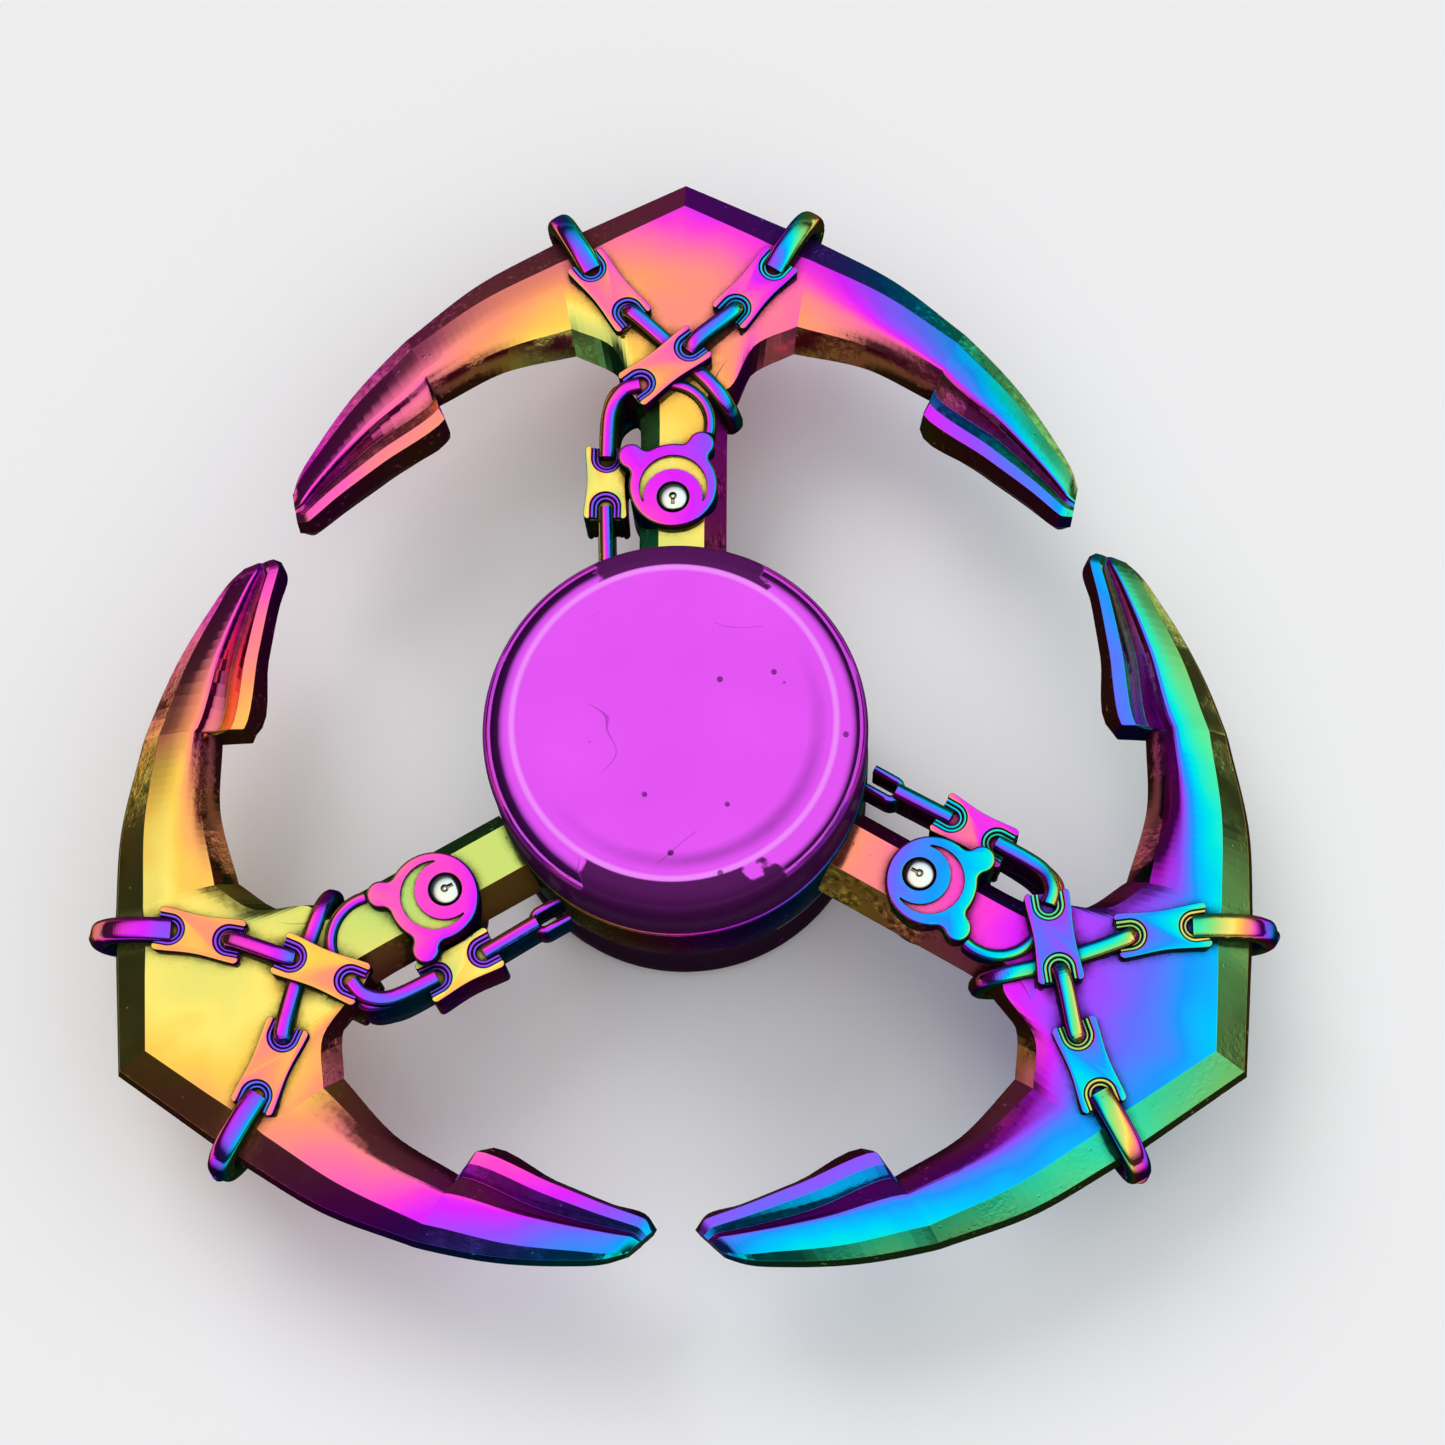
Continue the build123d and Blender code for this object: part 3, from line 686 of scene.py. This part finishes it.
def boss_outline():
    """A disc with two round ears, each joined to it by tangent fillets."""
    outline = []
    disc = Vector(BOSS_AT)
    joins = []
    for ear in reversed(EARS):
        for side in (-1, 1):
            fillet = meeting(BOSS_AT, BOSS_DISC_R + EAR_FILLET, ear, EAR_R + EAR_FILLET, side)
            on_disc = disc + (fillet - disc).normalized() * BOSS_DISC_R
            on_ear = Vector(ear) + (fillet - Vector(ear)).normalized() * EAR_R
            joins.append((ear, fillet, on_disc, on_ear))
    for i, (ear, fillet, on_disc, on_ear) in enumerate(joins):
        if i % 2 == 0:
            outline += arc_between(fillet, on_disc, on_ear, 6, False)[:-1]
            outline += arc_between(ear, on_ear, joins[i + 1][3], 16)[:-1]
        else:
            outline += arc_between(fillet, on_ear, on_disc, 6, False)[:-1]
            outline += arc_between(BOSS_AT, on_disc, joins[(i + 1) % 4][2], 14 + 30 * (i // 2))[:-1]
    return outline


def moon_outline():
    """The crescent between two circles, cut off at its horns, which point towards the hub."""
    x, outer_y, outer = MOON_OUTER
    inner_y, inner = MOON_INNER[1:]
    start = atan2(MOON_HORN - outer_y, sqrt(outer ** 2 - (MOON_HORN - outer_y) ** 2))
    end = atan2(MOON_HORN - inner_y, sqrt(inner ** 2 - (MOON_HORN - inner_y) ** 2))
    return (arc_points((x, outer_y), outer, start, pi - start, 48)
            + arc_points((x, inner_y), inner, pi - end, end, 48))


def shackle_shape(top):
    """The eared boss with its crescent and the pin's socket, the same on both faces."""
    boss = prism(boss_outline(), 0.0, top)
    soften_rims(boss, top, 0.16, 4)
    moon = prism(moon_outline(), top - MOON_DEPTH, top + 1)
    hole = arc_points(PIN_AT, PIN_R + SOCKET_GAP, 0, 2 * pi, 48)[:-1]
    socket = prism(hole, top - SOCKET_DEPTH, top + 1)
    shape = carved(boss, [moon, socket])
    mirrored_down(shape)
    return shape


def bow_shape():
    """The shackle's curved bar, which leaves the boss by its right ear."""
    path = [(x, y, 0) for x, y in arc_points(BOW_AT, BOW_R, BOW_START, BOW_END, 24)]
    return swept(path, wall_ring(BOW_HALF, BOW_TOP, 20), 1)


def pin_shape(top):
    """Both domed heads of the shackle's pin, each with a studded dimple and a slot towards the hub."""
    dome = [(PIN_R * sin(a * pi / 20), top - PIN_DOME * (1 - cos(a * pi / 20))) for a in range(11)]
    head = spun(dome + [(PIN_R, top - PIN_DEPTH), (0.0, top - PIN_DEPTH)], 48)
    clear, floor = top + 0.2, top - DIMPLE_DEPTH
    dimple = spun([(0.0, floor), (DIMPLE_R, floor), (DIMPLE_R, clear), (0.0, clear)], 32)
    slot = prism([(-SLOT_HALF, -SLOT_END), (SLOT_HALF, -SLOT_END), (SLOT_HALF, 0), (-SLOT_HALF, 0)],
                 top - SLOT_DEPTH, clear)
    # The two hollows overlap, so they are cut one after the other.
    bm = carved(carved(head, [dimple]), [slot])
    merge_in(bm, spun([(r, top - depth) for r, depth in STUD], 24))
    bmesh.ops.translate(bm, vec=(*PIN_AT, 0), verts=bm.verts)
    mirrored_down(bm)
    return bm


def plate_outline(eye, end):
    """An H: a rounded bar with a slight waist and a round-bottomed slot at each end."""
    corner, waisted = PLATE_CORNER, PLATE_END_HALF - PLATE_WAIST_HALF
    edge = []
    for i in range(1, 16):
        x = (end - corner) * (1 - i / 8)
        edge.append((x, PLATE_END_HALF - waisted * cos(pi * x / 2 / end) ** 2))
    half = arc_points((eye, 0), EYE_R, -pi / 2, -3 * pi / 2, 24)
    half += [(end - SLOT_LIP, EYE_R), (end, EYE_R + SLOT_LIP), (end, PLATE_END_HALF - corner)]
    half += arc_points((end - corner, PLATE_END_HALF - corner), corner, 0.25, pi / 2, 5) + edge
    half += arc_points((corner - end, PLATE_END_HALF - corner), corner, pi / 2, pi - 0.25, 5)
    half += [(-end, PLATE_END_HALF - corner), (-end, EYE_R + SLOT_LIP), (SLOT_LIP - end, EYE_R)]
    return half + [(-x, -y) for x, y in half]


def plate_frame(eye_a, eye_b):
    """The turn and shift that take a link lying along X to its two eyes."""
    turn = atan2(eye_b[1] - eye_a[1], eye_b[0] - eye_a[0])
    middle = Matrix.Translation(((eye_a[0] + eye_b[0]) / 2, (eye_a[1] + eye_b[1]) / 2, 0))
    return middle @ Matrix.Rotation(turn, 4, "Z")


def half_pitch(eye_a, eye_b):
    """Half of the distance between a link's two eyes."""
    return hypot(eye_b[0] - eye_a[0], eye_b[1] - eye_a[1]) / 2


def plate_shape(eye_a, eye_b, top, depth):
    """A flat link at its place between two eyes."""
    eye = half_pitch(eye_a, eye_b)
    end = eye + PLATE_OVERHANG
    bm = prism(plate_outline(eye, end), top - depth, top)
    soften_rims(bm, top, PLATE_RIM, 4)
    x, y = end - EYE_FLOOR_INSET, PLATE_WAIST_HALF - EYE_FLOOR_INSET
    merge_in(bm, prism([(x, y), (-x, y), (-x, -y), (x, -y)], top - depth + 0.02, top - EYE_FLOOR_DEPTH))
    bmesh.ops.transform(bm, matrix=plate_frame(eye_a, eye_b), verts=bm.verts)
    return bm


def eye_shape(eye_a, eye_b, top):
    """The two beads, one inside the other, that line each slot of a link."""
    eye = half_pitch(eye_a, eye_b)
    end = eye + PLATE_OVERHANG - BEAD_INSET
    bm = bmesh.new()
    for side in (-1, 1):
        for radius, bead, sink in BEADS:
            turn = arc_points((eye, 0), radius, -pi / 2, -3 * pi / 2, 20)
            path = [(side * x, y, top - sink) for x, y in [(end, -radius), *turn, (end, radius)]]
            merge_in(bm, swept(path, round_ring(bead, 10), 1))
    bmesh.ops.transform(bm, matrix=plate_frame(eye_a, eye_b), verts=bm.verts)
    return bm


def smooth_path(points, count):
    """Points along a straight line, or a smooth one where more than two are given."""
    if len(points) == 2:
        a, b = (Vector(p) for p in points)
        return [a.lerp(b, i / count) for i in range(count + 1)]
    return smooth_line(points, [count] * (len(points) - 1))


def swept(points, ring, count=8):
    """A bar whose section is a ring of (across, up) points, swept along a smooth line in space."""
    path = smooth_path(points, count)
    sections = []
    for i, point in enumerate(path):
        ahead, behind = path[min(i + 1, len(path) - 1)], path[max(i - 1, 0)]
        along = (ahead - behind).normalized()
        across = along.cross(Vector((0, 0, 1)))
        across = across.normalized() if across.length > 0.05 else Vector((0, 1, 0))
        up = across.cross(along)
        if sections and across.dot(last) < 0:
            across, up = -across, -up
        last = across
        sections.append([point + across * a + up * b for a, b in ring])
    bm = bmesh.new()
    loft(bm, sections)
    return bm


def round_ring(radius, count):
    """A round section."""
    return [(radius * cos(2 * pi * i / count), radius * sin(2 * pi * i / count)) for i in range(count)]


def wall_ring(half_width, half_height, count=16):
    """A tall section with rounded ends, for the links that stand on edge."""
    straight = half_height - half_width
    ring = []
    for i in range(count):
        a = 2 * pi * (i + 0.5) / count
        ring.append((half_width * cos(a), half_width * sin(a) + (straight if sin(a) > 0 else -straight)))
    return ring


def flat_ring(half_width, half_height, count=20):
    """A section with a flattened top, between a circle and a rectangle."""
    ring = []
    for i in range(count):
        c, s = cos(2 * pi * i / count), sin(2 * pi * i / count)
        size = (abs(c) ** 3 + abs(s) ** 3) ** (-1 / 3)
        ring.append((half_width * size * c, half_height * size * s))
    return ring


def over_edge(upper, edge):
    """A line along the upper points, round an edge at the mid-plane, and back along the other face."""
    return upper + [(*edge, 0)] + [(x, y, -z) for x, y, z in reversed(upper)]


def crown_wrap(side):
    """The link that turns over the crown's edge from one face to the other."""
    eye = CROWN_PLATES[0 if side < 0 else 1][0]
    x, y = side * WRAP_OUT[0], WRAP_OUT[1]
    upper = [(eye[0] + (x - eye[0]) * way, eye[1] + (y - eye[1]) * way, height)
             for way, height in ((0.0, 2.15), (0.3, 2.4), (0.7, 2.1))]
    upper.append((x - side * 0.16, y - 0.25, 1.2))
    return swept(over_edge(upper, (x, y)), flat_ring(WRAP_HALF_WIDTH, WRAP_R, 28), 12)


def under_strand():
    """The strand that dives under the cross link and turns over the shank's side to the other face."""
    x, y = UNDER_ROD_TURN
    upper = [(*CROWN_PLATES[0][1], 2.2), (-3.0, 27.4, 2.5), (-1.5, 26.1, 2.3), (0.6, 24.1, 2.0),
             (2.0, 22.6, 2.0), (x - 0.3, y + 0.35, 1.3)]
    return swept(over_edge(upper, UNDER_ROD_TURN), flat_ring(ROD_R, ROD_R), 9)


def chain_bars():
    """The rods, the wraps, the links that stand on edge and the two prongs of one arm."""
    bars = bmesh.new()
    over_strand = [(*CROWN_PLATES[1][1], 2.3), (2.9, 27.35, 2.6), (1.0, 25.7, 2.85), (*CROSS_PLATE[0], 2.55)]
    merge_in(bars, swept(over_strand, flat_ring(ROD_R, ROD_R)))
    rod = [(*CROSS_PLATE[1], 2.62), (-3.55, 22.45, 2.45), (-4.35, 21.2, 2.05), (*SIDE_PLATE[0], 1.75)]
    merge_in(bars, swept(rod, flat_ring(WALL_HALF, ROD_R)))
    mirrored_down(bars)
    merge_in(bars, under_strand())
    for side in (-1, 1):
        merge_in(bars, crown_wrap(side))
    web = [(*CROSS_PLATE[1], 0), (-3.9, 22.6, 0), (-4.45, 20.9, 0), (*SIDE_PLATE[0], 0)]
    merge_in(bars, swept(web, wall_ring(WALL_HALF, CROSS_WALL_TOP)))
    merge_in(bars, swept([(*SIDE_PLATE[1], 0), (*HUB_ROD_END, 0)], wall_ring(WALL_HALF, SIDE_WALL_TOP), 4))
    x, y = HUB_ROD_END
    for side in (-1, 1):
        prong = [(x, y + 0.3, 0), (x + side * FORK_HALF * 0.9, y - 0.1, 0),
                 (x + side * FORK_HALF, y - 0.8, 0), (x + side * FORK_HALF, y - 1.8, 0)]
        merge_in(bars, swept(prong, wall_ring(FORK_BAR_HALF, FORK_TOP, 12), 4))
    return bars


def chain_eyes():
    """The beads round the eyes of one arm's flat links."""
    eyes = bmesh.new()
    for eye_a, eye_b, top, _ in (*CROWN_PLATES, CROSS_PLATE, SIDE_PLATE):
        merge_in(eyes, eye_shape(eye_a, eye_b, top))
    mirrored_down(eyes)
    return eyes


def chain_plates():
    """The flat links of one arm."""
    plates = bmesh.new()
    for link in (*CROWN_PLATES, CROSS_PLATE, SIDE_PLATE):
        merge_in(plates, plate_shape(*link))
    mirrored_down(plates)
    return plates


# ---------------------------------------------------------------- caps and hub, in millimetres

def cap_profile():
    """Half of a cap's outline from the middle of its face round to its underside."""
    drop = CAP_R - CAP_SHOULDER_R
    wall_top = CAP_TOP - drop
    face = [(r, CAP_TOP - DISH_DEPTH + DISH_RISE * (r / DISH_R) ** 2)
            for r in (0.0, 1.5, 3.0, 4.5, 6.0, 6.8)]
    face += [(DISH_WALL_R + DISH_WALL_RUN * t,
              CAP_TOP - DISH_WALL_HIGH + DISH_WALL_HIGH * (3 * t * t - 2 * t ** 3))
             for t in (0.0, 0.1, 0.2, 0.3, 0.4, 0.5, 0.6, 0.7, 0.8, 0.9)]
    face += [(CAP_RIM_R - CAP_LAND_HALF, CAP_TOP), (CAP_RIM_R + CAP_LAND_HALF, CAP_TOP)]
    face += [(CAP_SHOULDER_R + drop * sin(a * pi / 20), wall_top + drop * cos(a * pi / 20))
             for a in range(1, 11)]
    low, inside, ceiling = HUB_HIGH + CAP_HUB_GAP, CAP_R - SKIRT_WALL, wall_top - 0.2
    return face + [(CAP_R, low + SKIRT_CHAMFER), (CAP_R - 0.06, low + 0.06), (CAP_R - SKIRT_CHAMFER, low),
                   (inside, low), (inside, ceiling), (CAP_BOSS_R, ceiling), (CAP_BOSS_R, low), (0.0, low)]


def hub_profile():
    """The hub ring's outline, with rounded outer edges, round the bearing's seat."""
    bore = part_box("bearing_outer_ring")[1].x / MM
    corner = [(HUB_R - HUB_EDGE + HUB_EDGE * sin(a * pi / 8),
               HUB_HIGH - HUB_EDGE + HUB_EDGE * cos(a * pi / 8)) for a in range(5)]
    upper = [(bore, HUB_HIGH)] + corner
    return upper + [(r, -z) for r, z in reversed(upper)] + [upper[0]]


# ---------------------------------------------------------------- add-on

class SpinnerSizes(bpy.types.PropertyGroup):
    """Sizes that can be changed without touching the frame."""

    edge_round: FloatProperty(name="Edge rounding", description="Rounding of the casting's edges, in mm",
                              default=0.28, min=0.0, max=0.5)
    bar_round: FloatProperty(name="Bar rounding", description="Rounding of the chain's edges, in mm",
                             default=0.05, min=0.0, max=0.2)
    round_steps: IntProperty(name="Rounding steps", description="Faces across a rounded edge",
                             default=3, min=1, max=6)


class SpinnerColours(bpy.types.PropertyGroup):
    """Colours of the coatings."""

    cap: FloatVectorProperty(name="Cap", description="Colour of the top cap's coating", subtype="COLOR",
                             default=(0.66, 0.075, 0.80), min=0.0, max=1.0)
    cap_edge: FloatVectorProperty(name="Cap clouding", description="Lighter cloud in the cap's coating",
                                  subtype="COLOR", default=(0.88, 0.12, 0.96), min=0.0, max=1.0)
    # The bottom cap's dark colour is painted shade: the cap is taken to carry the same plating as the top
    # one.
    bottom_cap: FloatVectorProperty(name="Bottom cap", description="Colour of the bottom cap's coating",
                                    subtype="COLOR", default=(0.10, 0.085, 0.10), min=0.0, max=1.0)
    floor: FloatVectorProperty(name="Floor", description="Colour of the studio floor", subtype="COLOR",
                               default=(0.93, 0.93, 0.935), min=0.0, max=1.0)


def sizes():
    return bpy.context.scene.spinner_sizes


def colours():
    return bpy.context.scene.spinner_colours


def plating(name):
    """One of the platings, made the first time that it is asked for."""
    return bpy.data.materials.get(name) or rainbow_plating(name, **PLATINGS[name])


class SPINNER_OT_stage(bpy.types.Operator):
    """Makes the floor, the studio light and the camera"""
    bl_idname = "spinner.stage"
    bl_label = "Stage"

    def execute(self, context):
        floor_mesh = bmesh.new()
        bmesh.ops.create_grid(floor_mesh, x_segments=1, y_segments=1, size=FLOOR_HALF)
        bmesh.ops.translate(floor_mesh, vec=(0, 0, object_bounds()[0].z), verts=floor_mesh.verts)
        floor = plain_object("studio_floor", floor_mesh)
        paint = Finish("floor_paint", 0.0, 0.6)
        cloud = paint.noise(30)
        tone = colours().floor
        floor.data.materials.append(paint.set(
            Base_Color=paint.mixed(cloud * 0.1, (*tone, 1), (*[c * 0.96 for c in tone], 1))))
        floor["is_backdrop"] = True
        self.make_light(context)
        self.make_camera(context)
        return {"FINISHED"}

    def make_light(self, context):
        world = bpy.data.worlds.new("studio")
        context.scene.world = world
        world.use_nodes = True
        tree = world.node_tree
        place = tree.nodes.new("ShaderNodeTexCoord")
        ramp = tree.nodes.new("ShaderNodeValToRGB")
        set_stops(ramp.color_ramp, SKY_STOPS)
        lean = tree.nodes.new("ShaderNodeVectorMath")
        lean.operation = "DOT_PRODUCT"
        lean.inputs[1].default_value = SKY_LEAN
        tree.links.new(place.outputs["Generated"], lean.inputs[0])
        tree.links.new(lean.outputs["Value"], ramp.inputs["Fac"])
        tree.links.new(ramp.outputs["Color"], tree.nodes["Background"].inputs["Color"])
        tree.nodes["Background"].inputs["Strength"].default_value = SKY_STRENGTH
        sun = bpy.data.lights.new("soft_sun", "SUN")
        sun.angle, sun.energy = radians(SUN_WIDTH), SUN_ENERGY
        lamp = bpy.data.objects.new("soft_sun", sun)
        lamp.visible_glossy = False
        lamp.rotation_euler = Vector(SUN_DIRECTION).to_track_quat("-Z", "Y").to_euler()
        context.scene.collection.objects.link(lamp)
        context.scene.view_settings.view_transform = "Standard"

    def make_camera(self, context):
        azimuth, elevation = radians(AZIMUTH), radians(ELEVATION)
        back = Vector((sin(azimuth) * cos(elevation), -cos(azimuth) * cos(elevation), sin(elevation)))
        data = bpy.data.cameras.new("camera")
        data.lens, data.sensor_width = LENS, SENSOR
        data.shift_x, data.shift_y = LENS_SHIFT
        data.clip_start, data.clip_end = 0.01, 10.0
        camera = bpy.data.objects.new("camera", data)
        camera.rotation_mode = "QUATERNION"
        camera.location = Vector((0, 0, CAMERA_AIM * MM)) + back * CAMERA_AWAY * MM
        camera.rotation_quaternion = ((-back).to_track_quat("-Z", "Y").to_matrix()
                                      @ Matrix.Rotation(radians(ROLL), 3, "Z")).to_quaternion()
        context.scene.collection.objects.link(camera)
        context.scene.camera = camera


class SPINNER_OT_anchors(bpy.types.Operator):
    """Makes the three anchor-shaped arms"""
    bl_idname = "spinner.anchors"
    bl_label = "Anchors"

    def execute(self, context):
        for arm in range(ARMS):
            anchor = piece(f"anchor_arm_{arm + 1}", anchor_shape(), plating("rainbow_plating"), TURN * arm,
                           sizes().edge_round, sizes().round_steps, CASTING_ANGLE)
            on_body(anchor, "rotor", "rainbow_casting", f"anchor_{arm + 1}")
        return {"FINISHED"}


class SPINNER_OT_chains(bpy.types.Operator):
    """Makes the chain that wraps each arm"""
    bl_idname = "spinner.chains"
    bl_label = "Chains"

    def execute(self, context):
        for arm in range(ARMS):
            plates = piece(f"chain_plates_{arm + 1}", chain_plates(), plating("link_plating"), TURN * arm,
                           sizes().bar_round, angle=LINK_ANGLE)
            on_body(plates, "rotor", "rainbow_casting", f"chain_{arm + 1}")
            bars = piece(f"chain_bars_{arm + 1}", chain_bars(), plating("bar_plating"), TURN * arm)
            on_body(bars, "rotor", "rainbow_casting", f"chain_{arm + 1}")
            eyes = piece(f"chain_eyes_{arm + 1}", chain_eyes(), plating("eye_plating"), TURN * arm)
            on_body(eyes, "rotor", "rainbow_casting", f"chain_{arm + 1}")
        return {"FINISHED"}


class SPINNER_OT_shackles(bpy.types.Operator):
    """Makes each arm's shackle and its pin"""
    bl_idname = "spinner.shackles"
    bl_label = "Shackles"

    def execute(self, context):
        pin_finish = pin_plating()
        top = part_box("shackle_1")[1].z / MM
        for arm in range(ARMS):
            boss = piece(f"shackle_boss_{arm + 1}", shackle_shape(top), plating("boss_plating"), TURN * arm,
                         sizes().bar_round, angle=LINK_ANGLE)
            on_body(boss, "rotor", "rainbow_casting", f"shackle_{arm + 1}")
            bow = piece(f"shackle_bow_{arm + 1}", bow_shape(), plating("bar_plating"), TURN * arm)
            on_body(bow, "rotor", "rainbow_casting", f"shackle_{arm + 1}")
            pin = piece(f"shackle_rivet_{arm + 1}", pin_shape(PIN_TOP), pin_finish, TURN * arm)
            on_body(pin, "rotor", "rivet_silver", f"shackle_pin_{arm + 1}")
        return {"FINISHED"}


class SPINNER_OT_hub(bpy.types.Operator):
    """Makes the hub ring that carries the arms"""
    bl_idname = "spinner.hub"
    bl_label = "Hub"

    def execute(self, context):
        hub = piece("hub", spun(hub_profile()), plating("hub_plating"))
        on_body(hub, "rotor", "rainbow_casting", "hub_ring")
        return {"FINISHED"}


class SPINNER_OT_caps(bpy.types.Operator):
    """Makes the two caps that are held between finger and thumb"""
    bl_idname = "spinner.caps"
    bl_label = "Caps"

    def execute(self, context):
        violet = cap_plating("violet_cap_plating", colours().cap, colours().cap_edge)
        # The bottom cap's plating is painted dark, as painted shade.
        dark = cap_plating("shaded_cap_plating", colours().bottom_cap, [c * 1.4 for c in colours().bottom_cap])
        top = piece("upper_cap", spun(cap_profile(), 160), violet)
        on_body(top, "held", "violet_cap", "top_cap")
        bottom_mesh = spun(cap_profile(), 160)
        over = Matrix.Rotation(pi, 3, "X")
        bmesh.ops.rotate(bottom_mesh, cent=(0, 0, 0), matrix=over, verts=bottom_mesh.verts)
        bottom = piece("lower_cap", bottom_mesh, dark)
        on_body(bottom, "held", "dark_cap", "bottom_cap")
        return {"FINISHED"}


class SPINNER_OT_bearing(bpy.types.Operator):
    """Gives the bearing inside the hub its steel finishes"""
    bl_idname = "spinner.bearing"
    bl_label = "Bearing"

    def execute(self, context):
        finishes = {"bearing_steel": bright_steel("bearing_steel", (0.72, 0.73, 0.75), 0.12),
                    "cage_steel": bright_steel("cage_steel", (0.55, 0.54, 0.52), 0.3)}
        slots = {part["node"]: part["material_slot"] for part in frame["record"]["subparts"]}
        for node, obj in frame["nodes"].items():
            if slots.get(node) in finishes:
                obj.data.materials.clear()
                obj.data.materials.append(finishes[slots[node]])
        return {"FINISHED"}


OPERATORS = (SPINNER_OT_stage, SPINNER_OT_anchors, SPINNER_OT_chains, SPINNER_OT_shackles, SPINNER_OT_hub,
             SPINNER_OT_caps, SPINNER_OT_bearing)


class SPINNER_PT_panel(bpy.types.Panel):
    """Lists the pieces that can be made"""
    bl_idname = "SPINNER_PT_panel"
    bl_label = "Spinner"
    bl_space_type = "VIEW_3D"
    bl_region_type = "UI"
    bl_category = "Spinner"

    def draw(self, context):
        for group in (sizes(), colours()):
            for name in group.__annotations__:
                self.layout.prop(group, name)
        for operator in OPERATORS:
            self.layout.operator(operator.bl_idname)


CLASSES = (SpinnerSizes, SpinnerColours, *OPERATORS, SPINNER_PT_panel)


def register():
    for cls in CLASSES:
        bpy.utils.register_class(cls)
    bpy.types.Scene.spinner_sizes = PointerProperty(type=SpinnerSizes)
    bpy.types.Scene.spinner_colours = PointerProperty(type=SpinnerColours)


def unregister():
    del bpy.types.Scene.spinner_colours
    del bpy.types.Scene.spinner_sizes
    for cls in reversed(CLASSES):
        bpy.utils.unregister_class(cls)


def main():
    register()
    bpy.ops.spinner.stage()
    bpy.ops.spinner.anchors()
    bpy.ops.spinner.chains()
    bpy.ops.spinner.shackles()
    bpy.ops.spinner.hub()
    bpy.ops.spinner.caps()
    bpy.ops.spinner.bearing()


if __name__ == "__main__":
    main()
